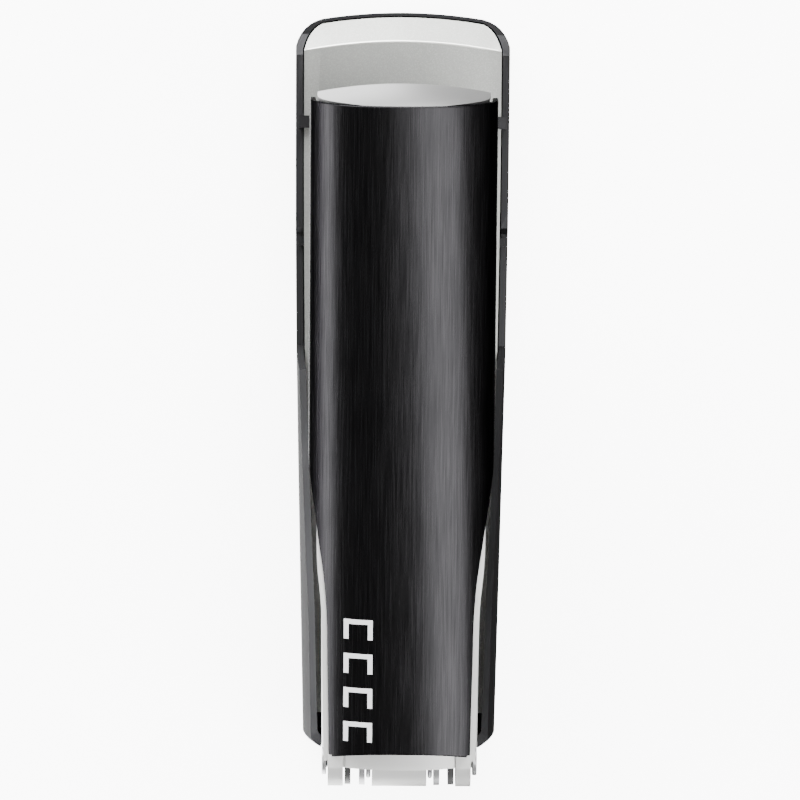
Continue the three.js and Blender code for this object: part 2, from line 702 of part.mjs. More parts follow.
/** A hairpin of spring wire round the pin. */
function hairpinSpring(side) {
  const radius = PIN_RADIUS + PIN_CLEARANCE + 1.45;
  const at = (y, z) => new THREE.Vector3(side * HAIRPIN_X, y, z);
  const turn = (angle) =>
    at(HINGE_Y + radius * Math.cos(angle), HINGE_Z + radius * Math.sin(angle));
  const points = [at(HINGE_Y - 9, HINGE_Z - 5.2)];
  for (let i = 0; i <= 8; i++) {
    points.push(turn(THREE.MathUtils.degToRad(-100 + 25 * i)));
  }
  points.push(at(HINGE_Y - 9, HINGE_Z + 1.2));
  return wire(new THREE.CatmullRomCurve3(points, false, "centripetal"), WIRE_RADIUS, 26, 4);
}

// Handle, closed -------------------------------------------------------------

/** Half the cover's width, a depth below its top line. */
function archHalfWidth(depth, inset) {
  const share = Math.max(0, 1 - (depth - inset) / (COVER_ARCH - inset));
  return (COVER_HALF_WIDTH - inset) * (1 - share ** COVER_POWER) ** (1 / COVER_POWER);
}

/** The arched section, open at the bottom, drawn in by an inset. */
function archOutline(inset, bottom) {
  const points = [v2(0, HANDLE_TOP - inset)];
  const steps = 12;
  for (let i = 1; i <= steps; i++) {
    const depth = inset + (COVER_ARCH - inset) * (1 - Math.cos((Math.PI / 2) * (i / steps)));
    points.push(v2(archHalfWidth(depth, inset), HANDLE_TOP - depth));
  }
  points.push(v2(COVER_HALF_WIDTH - inset, bottom));
  const other = points.slice(1).toReversed();
  return [...points, ...other.map((p) => v2(-p.x, p.y))].toReversed();
}

const COVER_REAR_Y = HINGE_Y - COVER_REAR_INSET;

/** How deep the cover's side reaches below its top, a distance before the hinge. */
const COVER_EDGE = new THREE.SplineCurve([
  v2(HINGE_Y - 59, COVER_SKIRT),
  v2(HINGE_Y - 54, 10.6),
  v2(HINGE_Y - 49, 7.9),
  v2(HINGE_Y - 40, 5.4),
  v2(HINGE_Y - 30, 4),
  v2(HINGE_Y - 18, 3.7),
  v2(HINGE_Y + 6, 3.4),
]);

/** An outline in Y and Z of all that lies below the cover's edge, less a drop. */
function belowCoverEdge(drop, frontZ) {
  const reach = LENGTH;
  const edge = COVER_EDGE.getPoints(24).map((p) => v2(p.x, HANDLE_TOP - p.y - drop));
  const front = edge.filter((p) => p.y > frontZ);
  return [
    v2(-reach, -reach),
    v2(reach, -reach),
    v2(reach, front.at(-1).y),
    ...front.toReversed(),
    v2(front[0].x, frontZ),
    v2(-reach, frontZ),
  ];
}

function topCover() {
  const deep = HANDLE_TOP - COVER_SKIRT - 2;
  const outer = lengthways(archOutline(0, deep), COVER_FRONT_Y, COVER_REAR_Y);
  const inner = lengthways(archOutline(COVER_WALL, deep - 1), -LENGTH, LENGTH);
  const below = sideways(belowCoverEdge(0, HANDLE_TOP - COVER_SKIRT), -LENGTH, LENGTH);
  return without(outer, inner, below);
}

/** Half the frame's width where it shows past the cover. */
const FRAME_EDGE = new THREE.SplineCurve([
  v2(HINGE_Y - 52, COVER_HALF_WIDTH - 1.55),
  v2(HINGE_Y - 38, COVER_HALF_WIDTH - 1.65),
  v2(HINGE_Y - 29, COVER_HALF_WIDTH - 2.45),
  v2(HINGE_Y - 20, COVER_HALF_WIDTH - 2.65),
  v2(HINGE_Y - 1.2, COVER_HALF_WIDTH - 3),
]);

/** The frame's outline from above, drawn in by an offset and run past both its ends. */
function frameOutline(offset, overrun) {
  const side = FRAME_EDGE.getPoints(16).map((p) => v2(p.y - offset, p.x));
  const [first, last] = [side[0], side.at(-1)];
  return bothSides([v2(first.x, first.y - overrun), ...side, v2(last.x, last.y + overrun)]);
}

/** The band of the frame that shows below the cover's edge. */
function frameBand() {
  const outer = raised(frameOutline(0, 0.1), 0, HANDLE_TOP);
  const inner = raised(frameOutline(BAND_WIDTH, 1), -1, HANDLE_TOP + 1);
  const reach = HANDLE_TOP - COVER_SKIRT;
  const above = sideways(belowCoverEdge(GAP, reach), -LENGTH, LENGTH);
  const below = sideways(belowCoverEdge(FRAME_BAND, reach + 1.5), -LENGTH, LENGTH);
  return outer.subtract(inner).intersect(above).subtract(below);
}

function handleFrame() {
  const inset = COVER_WALL + GAP;
  const rear = COVER_REAR_Y - 0.3;
  const front = COVER_FRONT_Y + 5;
  const solid = lengthways(archOutline(inset, 10), front, rear);
  const hollow = lengthways(archOutline(inset + FRAME_WALL, 9), front - 1, rear - 2);
  const low = HANDLE_TOP - COVER_SKIRT + 1.5;
  const below = sideways(belowCoverEdge(FRAME_BAND, low), -LENGTH, LENGTH);
  const shell = without(solid, hollow, below);
  const webLow = HINGE_Z + HINGE_RADIUS + GAP;
  const aboveEars = box([-ARM_HALF_SPAN, ARM_HALF_SPAN], [rear - 3, HINGE_Y], [webLow, HANDLE_TOP]);
  const web = lengthways(archOutline(inset, 10), rear - 3, HINGE_Y).intersect(aboveEars);
  const inner = ARM_HALF_SPAN - ARM_THICKNESS;
  const arms = [-1, 1].flatMap((side) => {
    const xs = span(side * inner, side * ARM_HALF_SPAN);
    const outline = earOutline(HINGE_RADIUS, HINGE_Y - 9, HINGE_Z + 2, HINGE_Z + HINGE_RADIUS);
    const block = box(xs, [COVER_REAR_Y + GAP, HINGE_Y], [HINGE_Z + 2, webLow + 0.6]);
    return [sideways(outline, ...xs), block];
  });
  const barrel = rod("x", HINGE_RADIUS, -BARREL_HALF, BARREL_HALF, [HINGE_Y, HINGE_Z]);
  const neck = box(
    [-BARREL_HALF, BARREL_HALF],
    [HINGE_Y - HINGE_RADIUS, HINGE_Y],
    [HINGE_Z + PIN_RADIUS + 1, webLow + 0.5],
  );
  const earRoom = box([-inner, inner], [HINGE_Y - 2 * HINGE_RADIUS, LENGTH], [0, webLow]);
  const headRoom = [-1, 1].map((side) =>
    rod(
      "x",
      PIN_HEAD_RADIUS + SLIDE_GAP,
      ...span(side * ARM_HALF_SPAN, side * (ARM_HALF_SPAN + 3)),
      [HINGE_Y, HINGE_Z],
    ),
  );
  const body = without(union(shell, frameBand()), earRoom, ...headRoom);
  return without(union(body, web, ...arms, barrel, neck), pinHole());
}

function noseCap() {
  const top = HANDLE_TOP - COVER_WALL - GAP;
  const face = new THREE.QuadraticBezierCurve(
    v2(COVER_FRONT_Y + 0.4, top),
    v2(NOSE_FRONT_Y + 0.2, top - 2),
    v2(NOSE_FRONT_Y, NOSE_BOTTOM),
  );
  const outer = [v2(COVER_FRONT_Y + 4.4, top), ...face.getPoints(8)];
  const drop = (p) => (p.x > NOSE_FRONT_Y + 1 ? NOSE_WALL : 0);
  const inner = outer.map((p) => v2(p.x + NOSE_WALL, p.y - drop(p)));
  inner[0].x -= NOSE_WALL;
  const half = COVER_HALF_WIDTH - COVER_WALL - GAP;
  const bow = (point) => {
    point.y += NOSE_SAG * (point.x / half) ** 2;
  };
  const sheet = sideways([...outer, ...inner.toReversed()], -half, half, 16, bow);
  const room = lengthways(archOutline(COVER_WALL + GAP, NOSE_BOTTOM - 1), -LENGTH, LENGTH);
  return sheet.intersect(room);
}

const BLADE_TOP = HANDLE_TOP - 3.6;
const HOLDER_HALF = 0.36 * COVER_HALF_WIDTH;
const RIVET_Z = HINGE_Z + 2.6;
const RIVET_X = 3.6;
const RIVET_RADIUS = 0.9;
const RIVET_HEAD_RADIUS = 1.5;
const HOLDER_LENGTH = 7;

function driverBlade() {
  const half = STAPLE_CROWN / 2 - 0.1;
  const tip = -Math.asin((TIP_DROP - 0.2) / BLADE_REACH);
  const top = Math.asin((BLADE_TOP - HINGE_Z) / BLADE_REACH);
  const steps = 10;
  const arc = (radius) =>
    Array.from({ length: steps + 1 }, (_, i) => {
      const angle = tip + ((top - tip) * i) / steps;
      return v2(HINGE_Y - radius * Math.cos(angle), HINGE_Z + radius * Math.sin(angle));
    });
  const thick = BLADE_THICKNESS / 2;
  const outline = [...arc(BLADE_REACH + thick), ...arc(BLADE_REACH - thick).toReversed()];
  const blade = sideways(outline.toReversed(), -half, half);
  return without(blade, ...[-1, 1].map((side) => rivetHole(side)));
}

const rivetHole = (side) =>
  rod("y", RIVET_RADIUS + PIN_CLEARANCE, -LENGTH, 0, [side * RIVET_X, RIVET_Z]);

const HOLDER_FRONT = HINGE_Y - BLADE_REACH + BLADE_THICKNESS / 2 + GAP;

function driverHolder() {
  const top = HANDLE_TOP - COVER_WALL - GAP - FRAME_WALL - 0.65 - GAP;
  const ys = [HOLDER_FRONT, HOLDER_FRONT + HOLDER_LENGTH];
  const body = box([-HOLDER_HALF, HOLDER_HALF], ys, [RIVET_Z - 2.2, top]);
  return without(body, rivetHole(-1), rivetHole(1));
}

function driverRivet(side) {
  const at = [side * RIVET_X, RIVET_Z];
  const blade = HINGE_Y - BLADE_REACH - BLADE_THICKNESS / 2 - GAP;
  const rear = HOLDER_FRONT + HOLDER_LENGTH + GAP;
  const shank = rod("y", RIVET_RADIUS, blade - 0.4, rear + 0.5, at);
  const heads = [
    rod("y", RIVET_HEAD_RADIUS, blade - 0.5, blade, at),
    rod("y", RIVET_HEAD_RADIUS, rear, rear + 0.6, at),
  ];
  return union(shank, ...heads);
}

// Assembly -------------------------------------------------------------------

const base = [
  node("base_shell", baseShell(), BLACK_PLASTIC()),
  node("base_plate", basePlate(), SILVER_PAINT()),
  node("front_foot", foot(FOOT_PLACES[0]), RUBBER()),
  node("rear_foot", foot(FOOT_PLACES[1]), RUBBER()),
  node("base_bracket", baseBracket(), DARK_STEEL()),
  ...SCREW_PLACES.map((y, i) => node("base_screw_" + (i + 1), baseScrew(y), STEEL_SHEET())),
  node("hinge_pin", hingePin(), STEEL_SHEET()),
  node("hinge_pin_washer", pinWasher(), STEEL_SHEET()),
  node("anvil_button", anvilButton(), BLACK_PLASTIC()),
  node("anvil_plate", anvilPlate(), STEEL_SHEET()),
  node("anvil_spring", anvilSpring(), STEEL_SHEET()),
];

const magazine = [
  node("magazine_channel", magazineChannel(), STEEL_SHEET()),
  node("magazine_front_plate", frontPlate(), STEEL_SHEET()),
  node("staple_rail", stapleRail(), STEEL_SHEET()),
  ...Object.entries(ROD_BLOCKS).map(([name, ends]) =>
    node(name, rodBlock(...ends), WHITE_PLASTIC()),
  ),
  node("follower_rod", followerRod(), STEEL_SHEET()),
  node("follower_spring", followerSpring(), STEEL_SHEET()),
  node("follower", follower(), BLACK_PLASTIC()),
  node("staple_strip", stapleStrip(), STEEL_SHEET()),
  node("magazine_yoke", magazineYoke(), STEEL_SHEET()),
  node("handle_leaf_spring", handleSpring(), STEEL_SHEET()),
  node("hairpin_spring_left", hairpinSpring(1), STEEL_SHEET()),
  node("hairpin_spring_right", hairpinSpring(-1), STEEL_SHEET()),
];

const handle = [
  node("top_cover", topCover(), BLACK_BRUSHED()),
  node("handle_frame", handleFrame(), SATIN_SILVER()),
  node("nose_cap", noseCap(), SATIN_SILVER()),
  node("driver_blade", driverBlade(), STEEL_SHEET()),
  node("driver_holder", driverHolder(), WHITE_PLASTIC()),
  node("driver_rivet_left", driverRivet(1), STEEL_SHEET()),
  node("driver_rivet_right", driverRivet(-1), STEEL_SHEET()),
];

const stapler = new THREE.Group();
stapler.add(
  ...base,
  turnedAboutHinge(MAGAZINE_REST_DEG, magazine),
  turnedAboutHinge(MAGAZINE_REST_DEG + HANDLE_REST_DEG, handle),
);

export default stapler;
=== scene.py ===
"""Looks of a flip-top desk stapler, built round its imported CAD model.

Sizes are in metres. The stapler's front faces -Y, +Z is up and the hinge pin lies along X.
The handle and the magazine are worked out closed and level, then turned up about the pin.
"""

import logging
import math
from dataclasses import dataclass, field
from enum import Enum

import bmesh
import bpy
from mathutils import Matrix, Vector


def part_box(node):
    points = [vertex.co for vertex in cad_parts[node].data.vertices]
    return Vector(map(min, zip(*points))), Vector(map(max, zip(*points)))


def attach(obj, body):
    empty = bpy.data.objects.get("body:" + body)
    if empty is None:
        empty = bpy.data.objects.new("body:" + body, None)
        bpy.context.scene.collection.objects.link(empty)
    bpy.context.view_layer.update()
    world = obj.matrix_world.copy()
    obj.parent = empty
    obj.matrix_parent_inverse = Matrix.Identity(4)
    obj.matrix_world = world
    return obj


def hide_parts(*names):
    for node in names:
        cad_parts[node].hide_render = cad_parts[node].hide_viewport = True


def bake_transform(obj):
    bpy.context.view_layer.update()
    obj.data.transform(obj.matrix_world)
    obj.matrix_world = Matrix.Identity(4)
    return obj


MM = 0.001
BRUSH_MAP = "brush"
GRAIN_DETAIL = 3.0
GRAIN_ROUGHNESS = 0.6
CLOUDS_PER_M = 90.0
CLOUD_DETAIL = 4.0
FLAKES_PER_M = 6500.0
FLAKE_CONTRAST = 3.0
LEAST_ROUGHNESS = 0.02
FLAT_WITHIN_DEG = 0.8
WELD_WITHIN = 0.002 * MM
SHOULDER_NEAR = (4.0 * MM, 2.0 * MM)
SHOULDER_POWER = 20
HALVINGS = 40
LOG = logging.getLogger("stapler")


class Part(Enum):
    """The CAD bodies that pieces ride on."""

    BASE = "base"
    LIFTER = "anvil_lifter"
    ANVIL = "anvil"
    MAGAZINE = "magazine"
    FOLLOWER = "follower"
    HANDLE = "handle"


class Side(Enum):
    """The two sides of the stapler, as signs along X."""

    LEFT = 1
    RIGHT = -1


# Node trees -----------------------------------------------------------------


@dataclass
class Graph:
    """A node tree and short ways to fill it."""

    tree: bpy.types.NodeTree

    def add(self, kind: str, **values: object) -> bpy.types.Node:
        """Add a node.

        Args:
            kind: The node's Blender type.
            values: Properties to set on the node.

        Returns:
            The new node.
        """
        node = self.tree.nodes.new(kind)
        for name, value in values.items():
            setattr(node, name, value)
        return node

    def feed(self, socket: bpy.types.NodeSocket, value: object) -> None:
        """Link or set a socket.

        Args:
            socket: The input socket.
            value: An output socket to link, or a plain value.
        """
        if isinstance(value, bpy.types.NodeSocket):
            self.tree.links.new(value, socket)
        elif value is not None:
            socket.default_value = value

    def math(self, operation: str, a: object, b: object = None) -> bpy.types.NodeSocket:
        """Return the output of a math node.

        Args:
            operation: The math operation.
            a: First input.
            b: Second input.

        Returns:
            The value socket.
        """
        node = self.add("ShaderNodeMath", operation=operation)
        self.feed(node.inputs[0], a)
        self.feed(node.inputs[1], b)
        return node.outputs[0]

    def spread(self, value: object, low: float, high: float) -> bpy.types.NodeSocket:
        """Return a 0 to 1 value spread over a range.

        Args:
            value: The value to spread.
            low: Result at 0.
            high: Result at 1.

        Returns:
            The value socket.
        """
        node = self.add("ShaderNodeMapRange")
        self.feed(node.inputs["Value"], value)
        node.inputs["To Min"].default_value = low
        node.inputs["To Max"].default_value = high
        return node.outputs[0]


# Finishes -------------------------------------------------------------------

Colour = tuple[float, float, float]


@dataclass(frozen=True)
class Finish:
    """A surface finish with grain, bump and slight colour changes."""

    name: str
    colour: Colour
    roughness: float = 0.5
    metallic: float = 0.0
    grain_per_m: tuple[float, float, float] = (2500.0, 2500.0, 2500.0)
    turn_x_deg: float = 0.0
    shade_change: float = 0.12
    grain_share: float = 0.5
    roughness_change: float = 0.08
    bump: float = 0.15
    bump_m: float = 2.0e-5
    anisotropy: float = 0.0
    specular: float = 0.5
    edge_shine: float = 1.0
    sparkle: float = 0.0
    glow: float = 0.0
    seed: float = 0.0

    def material(self) -> bpy.types.Material:
        """Return the finish's material, made once.

        Returns:
            The finish's material.
        """
        made = bpy.data.materials.get(self.name)
        if made is None:
            made = bpy.data.materials.new(self.name)
            made.use_nodes = True
            made.diffuse_color = (*self.colour, 1.0)
            self._fill(Graph(made.node_tree))
        return made

    def _grain(self, graph: Graph) -> bpy.types.NodeSocket:
        """Return fine grain from 0 to 1, in the piece's own frame.

        Args:
            graph: The finish's node graph.

        Returns:
            The output that gives the grain.
        """
        place = graph.add("ShaderNodeTexCoord").outputs["Object"]
        turned = graph.add("ShaderNodeMapping")
        graph.feed(turned.inputs["Vector"], place)
        turned.inputs["Rotation"].default_value = (math.radians(self.turn_x_deg), 0.0, 0.0)
        turned.inputs["Location"].default_value = (self.seed, self.seed, 0.0)
        stretched = graph.add("ShaderNodeMapping")
        graph.feed(stretched.inputs["Vector"], turned.outputs[0])
        stretched.inputs["Scale"].default_value = self.grain_per_m
        noise = graph.add("ShaderNodeTexNoise")
        graph.feed(noise.inputs["Vector"], stretched.outputs[0])
        noise.inputs["Scale"].default_value = 1.0
        noise.inputs["Detail"].default_value = GRAIN_DETAIL
        noise.inputs["Roughness"].default_value = GRAIN_ROUGHNESS
        return noise.outputs[0]

    def _clouds(self, graph: Graph) -> bpy.types.NodeSocket:
        """Return slow changes from 0 to 1, for handling marks.

        Args:
            graph: The finish's node graph.

        Returns:
            The output that gives the changes.
        """
        place = graph.add("ShaderNodeTexCoord").outputs["Object"]
        noise = graph.add("ShaderNodeTexNoise")
        graph.feed(noise.inputs["Vector"], place)
        noise.inputs["Scale"].default_value = CLOUDS_PER_M
        noise.inputs["Detail"].default_value = CLOUD_DETAIL
        return noise.outputs[0]

    def _sparkles(self, graph: Graph) -> bpy.types.NodeSocket:
        """Return metal flakes as random bright cells.

        Args:
            graph: The finish's node graph.

        Returns:
            The output that gives the flakes.
        """
        place = graph.add("ShaderNodeTexCoord").outputs["Object"]
        cells = graph.add("ShaderNodeTexVoronoi")
        graph.feed(cells.inputs["Vector"], place)
        cells.inputs["Scale"].default_value = FLAKES_PER_M
        split = graph.add("ShaderNodeSeparateColor")
        graph.feed(split.inputs[0], cells.outputs["Color"])
        return graph.math("POWER", split.outputs[0], FLAKE_CONTRAST)

    def _fill(self, graph: Graph) -> None:
        """Build the shader.

        Args:
            graph: The empty node graph to fill.
        """
        shader = graph.tree.nodes["Principled BSDF"]
        grain = self._grain(graph)
        clouds = self._clouds(graph)
        fine = graph.math("MULTIPLY", grain, self.grain_share)
        mixed = graph.math("ADD", fine, graph.math("MULTIPLY", clouds, 1.0 - self.grain_share))
        if self.sparkle:
            flakes = self._sparkles(graph)
            mixed = graph.math("ADD", mixed, graph.math("MULTIPLY", flakes, self.sparkle))
        shade = graph.spread(mixed, 1.0 - self.shade_change, 1.0 + self.shade_change)
        tint = graph.add("ShaderNodeMix", data_type="RGBA", blend_type="MULTIPLY")
        tint.inputs["Factor"].default_value = 1.0
        tint.inputs["A"].default_value = (*self.colour, 1.0)
        grey = graph.add("ShaderNodeCombineColor")
        for socket in grey.inputs:
            graph.feed(socket, shade)
        graph.feed(tint.inputs["B"], grey.outputs[0])
        graph.feed(shader.inputs["Base Color"], tint.outputs["Result"])
        low = max(LEAST_ROUGHNESS, self.roughness - self.roughness_change)
        high = min(1.0, self.roughness + self.roughness_change)
        graph.feed(shader.inputs["Roughness"], graph.spread(grain, low, high))
        shader.inputs["Metallic"].default_value = self.metallic
        shader.inputs["Anisotropic"].default_value = self.anisotropy
        shader.inputs["Specular IOR Level"].default_value = self.specular
        shader.inputs["Specular Tint"].default_value = (*[self.edge_shine] * 3, 1.0)
        shader.inputs["Emission Color"].default_value = (1.0, 1.0, 1.0, 1.0)
        shader.inputs["Emission Strength"].default_value = self.glow
        if self.anisotropy:
            across = graph.add("ShaderNodeTangent", direction_type="UV_MAP", uv_map=BRUSH_MAP)
            graph.feed(shader.inputs["Tangent"], across.outputs[0])
        bump = graph.add("ShaderNodeBump")
        bump.inputs["Strength"].default_value = self.bump
        bump.inputs["Distance"].default_value = self.bump_m
        graph.feed(bump.inputs["Height"], grain)
        graph.feed(shader.inputs["Normal"], bump.outputs[0])


@dataclass(frozen=True)
class Finishes:
    """Every finish on the stapler."""

    tilt_deg: float = 10.5

    def brushed_black(self) -> Finish:
        """Black lacquer over metal brushed lengthways.

        Returns:
            The finish.
        """
        return Finish(
            "brushed_black",
            (0.0172, 0.0168, 0.0178),
            roughness=0.26,
            metallic=1.0,
            edge_shine=0.05,
            grain_per_m=(3600.0, 85.0, 3600.0),
            turn_x_deg=self.tilt_deg,
            shade_change=0.95,
            grain_share=0.85,
            roughness_change=0.08,
            bump=0.55,
            bump_m=1.2e-5,
            anisotropy=0.5,
        )

    def sparkle_silver(self) -> Finish:
        """Silver paint with a fine sparkle.

        Returns:
            The finish.
        """
        return Finish(
            "sparkle_silver",
            (0.3, 0.305, 0.29),
            roughness=0.42,
            metallic=0.8,
            grain_per_m=(3800.0, 3800.0, 3800.0),
            shade_change=0.22,
            roughness_change=0.1,
            bump=0.35,
            bump_m=3.0e-5,
            sparkle=0.5,
        )

    def satin_silver(self) -> Finish:
        """Smooth satin silver.

        Returns:
            The finish.
        """
        return Finish(
            "satin_silver",
            (0.27, 0.268, 0.262),
            roughness=0.34,
            metallic=1.0,
            grain_per_m=(1500.0, 1500.0, 1500.0),
            shade_change=0.05,
            roughness_change=0.05,
            bump=0.08,
        )

    def fold_highlight_silver(self) -> Finish:
        """Silver painted much lighter than the plate, a painted highlight along its front fold.

        Returns:
            The finish.
        """
        return Finish(
            "fold_highlight_silver",
            (0.62, 0.62, 0.59),
            roughness=0.36,
            metallic=1.0,
            grain_per_m=(2200.0, 2200.0, 2200.0),
            shade_change=0.08,
            roughness_change=0.05,
            bump=0.1,
        )

    def dull_silver(self) -> Finish:
        """Fine-grained dull silver.

        Returns:
            The finish.
        """
        return Finish(
            "dull_silver",
            (0.155, 0.155, 0.153),
            roughness=0.5,
            metallic=0.7,
            grain_per_m=(4000.0, 4000.0, 4000.0),
            shade_change=0.1,
            roughness_change=0.06,
            bump=0.12,
        )

    def black_plastic(self) -> Finish:
        """Satin black plastic with a fine moulded grain.

        Returns:
            The finish.
        """
        return Finish(
            "black_plastic",
            (0.026, 0.026, 0.027),
            roughness=0.48,
            metallic=0.85,
            specular=0.05,
            edge_shine=0.04,
            grain_per_m=(4200.0, 4200.0, 4200.0),
            shade_change=0.2,
            bump=0.35,
            bump_m=2.5e-5,
        )

    def sheet_steel(self) -> Finish:
        """Zinc-plated sheet steel with rolling marks.

        Returns:
            The finish.
        """
        return Finish(
            "sheet_steel",
            (0.5, 0.5, 0.51),
            roughness=0.3,
            metallic=1.0,
            grain_per_m=(2600.0, 120.0, 2600.0),
            turn_x_deg=6.5,
            shade_change=0.14,
            roughness_change=0.1,
            bump=0.12,
        )

    def staple_wire(self) -> Finish:
        """Bright galvanised wire.

        Returns:
            The finish.
        """
        return Finish(
            "staple_wire",
            (0.66, 0.66, 0.67),
            roughness=0.24,
            metallic=1.0,
            grain_per_m=(500.0, 5200.0, 500.0),
            shade_change=0.18,
            bump=0.1,
        )

    def dark_steel(self) -> Finish:
        """Dark phosphated steel.

        Returns:
            The finish.
        """
        return Finish(
            "dark_steel",
            (0.055, 0.055, 0.058),
            roughness=0.42,
            metallic=0.85,
            grain_per_m=(1800.0, 1800.0, 1800.0),
            shade_change=0.25,
            bump=0.2,
        )

    def rubber(self) -> Finish:
        """Matt black rubber.

        Returns:
            The finish.
        """
        return Finish(
            "rubber",
            (0.017, 0.017, 0.017),
            roughness=0.85,
            grain_per_m=(1800.0, 1800.0, 1800.0),
            shade_change=0.25,
            bump=0.4,
        )

    def white_plastic(self) -> Finish:
        """Natural acetal plastic.

        Returns:
            The finish.
        """
        return Finish(
            "white_plastic",
            (0.72, 0.71, 0.67),
            roughness=0.45,
            grain_per_m=(1400.0, 1400.0, 1400.0),
            shade_change=0.06,
            bump=0.1,
        )

    def white_ink(self) -> Finish:
        """Printed light grey ink.

        Returns:
            The finish.
        """
        return Finish(
            "white_ink",
            (0.74, 0.74, 0.75),
            roughness=0.5,
            grain_per_m=(3000.0, 3000.0, 3000.0),
            shade_change=0.07,
            bump=0.1,
        )


# Mesh helpers ---------------------------------------------------------------


@dataclass(frozen=True)
class Hinge:
    """The pin that the handle and the magazine turn on."""

    y: float = 65.4 * MM
    z: float = 27.0 * MM

    def raised(self, degrees: float) -> Matrix:
        """Return the move that turns a closed piece up about the pin."""
        at = Matrix.Translation((0.0, self.y, self.z))
        return at @ Matrix.Rotation(-math.radians(degrees), 4, "X") @ at.inverted()


HINGE = Hinge()
MAGAZINE_UP = 6.5
HANDLE_UP = 10.5


def new_object(name: str, mesh: bpy.types.Mesh) -> bpy.types.Object:
    """Put a mesh in the scene as an object at the origin.

    Args:
        name: The piece's name.
        mesh: Its mesh.

    Returns:
        The new object.
    """
    made = bpy.data.objects.new(name, mesh)
    bpy.context.scene.collection.objects.link(made)
    return made


def mesh_from(name: str, points: list[Vector], faces: list[tuple[int, ...]]) -> bpy.types.Mesh:
    """Make a mesh whose faces point outwards.

    Args:
        name: The mesh's name.
        points: Its vertices.
        faces: Its faces, as vertex numbers.

    Returns:
        The mesh.
    """
    mesh = bpy.data.meshes.new(name)
    mesh.from_pydata([tuple(p) for p in points], [], faces)
    mesh.validate()
    mesh.update()
    return mesh


def smooth(mesh: bpy.types.Mesh, sharp_deg: float) -> None:
    """Shade a mesh smooth, apart from edges sharper than an angle."""
    mesh.polygons.foreach_set("use_smooth", [True] * len(mesh.polygons))
    mesh.set_sharp_from_angle(angle=math.radians(sharp_deg))


def rounded(
    piece: bpy.types.Object, width: float, segments: int = 3, over_deg: float = 28.0
) -> None:
    """Round a piece's sharp edges.

    Args:
        piece: The piece.
        width: Radius of the rounding.
        segments: Steps across it.
        over_deg: Only edges sharper than this.
    """
    bevel = piece.modifiers.new("rounded_edges", "BEVEL")
    bevel.width = width
    bevel.segments = segments
    bevel.limit_method = "ANGLE"
    bevel.angle_limit = math.radians(over_deg)
    bevel.harden_normals = True
    bevel.use_clamp_overlap = True


def dress(
    piece: bpy.types.Object, part: Part | None, finish: Finish
) -> bpy.types.Object:
    """Give a piece its finish and its body.

    Args:
        piece: The piece.
        part: The body it rides on, or None for a spring between two bodies.
        finish: Its finish.

    Returns:
        The piece.
    """
    piece.data.materials.clear()
    piece.data.materials.append(finish.material())
    if part:
        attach(piece, part.value)
    home = part.value if part else "two bodies"
    LOG.info("%s: %d faces on %s", piece.name, len(piece.data.polygons), home)
    return piece


@dataclass(frozen=True)
class Refined:
    """A CAD node copied, cleaned and given rounded edges."""

    node: str
    part: Part
    finish: Finish
    slot: str
    rounding: float = 0.15 * MM
    segments: int = 2
    sharp_deg: float = 32.0
    crown: float = 0.0
    shoulder: float = 0.0

    def build(self) -> bpy.types.Object:
        """Build the piece, dress it and hide the CAD node that it is made from.

        Returns:
            The finished piece.
        """
        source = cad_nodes()[self.node]
        mesh = bpy.data.meshes.new(self.node + "_fine")
        work = bmesh.new()
        work.from_mesh(source.data)
        bmesh.ops.remove_doubles(work, verts=work.verts, dist=WELD_WITHIN)
        if self.crown:
            half = max(v.co.x for v in work.verts)
            for vertex in work.verts:
                vertex.co.z -= self.crown * (vertex.co.x / half) ** 2
        else:
            self._slope_shoulder(work)
            bmesh.ops.dissolve_limit(
                work, angle_limit=math.radians(FLAT_WITHIN_DEG), verts=work.verts, edges=work.edges
            )
        work.to_mesh(mesh)
        work.free()
        piece = new_object(self.node + "_fine", mesh)
        smooth(mesh, self.sharp_deg)
        if self.rounding:
            rounded(piece, self.rounding, self.segments, self.sharp_deg)
        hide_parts(self.node)
        return dress(piece, self.part, self.finish)

    def _slope_shoulder(self, work: bmesh.types.BMesh) -> None:
        """Lower the outer top edge of a wall, so its top slopes outwards.

        Args:
            work: The piece's mesh while it is worked on.
        """
        places = [v.co.copy() for v in work.verts] if self.shoulder else []
        top = max((p.z for p in places), default=0.0)
        for vertex, at in zip(work.verts, places):
            near = [
                abs(p.x)
                for p in places
                if abs(p.y - at.y) < SHOULDER_NEAR[0] and abs(p.z - at.z) < SHOULDER_NEAR[1]
            ]
            drop = self.shoulder * (abs(at.x) / max(near)) ** SHOULDER_POWER
            vertex.co.z -= drop * max(0.0, at.z / top)


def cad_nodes() -> dict[str, bpy.types.Object]:
    """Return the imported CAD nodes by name."""
    return FRAME["nodes"]


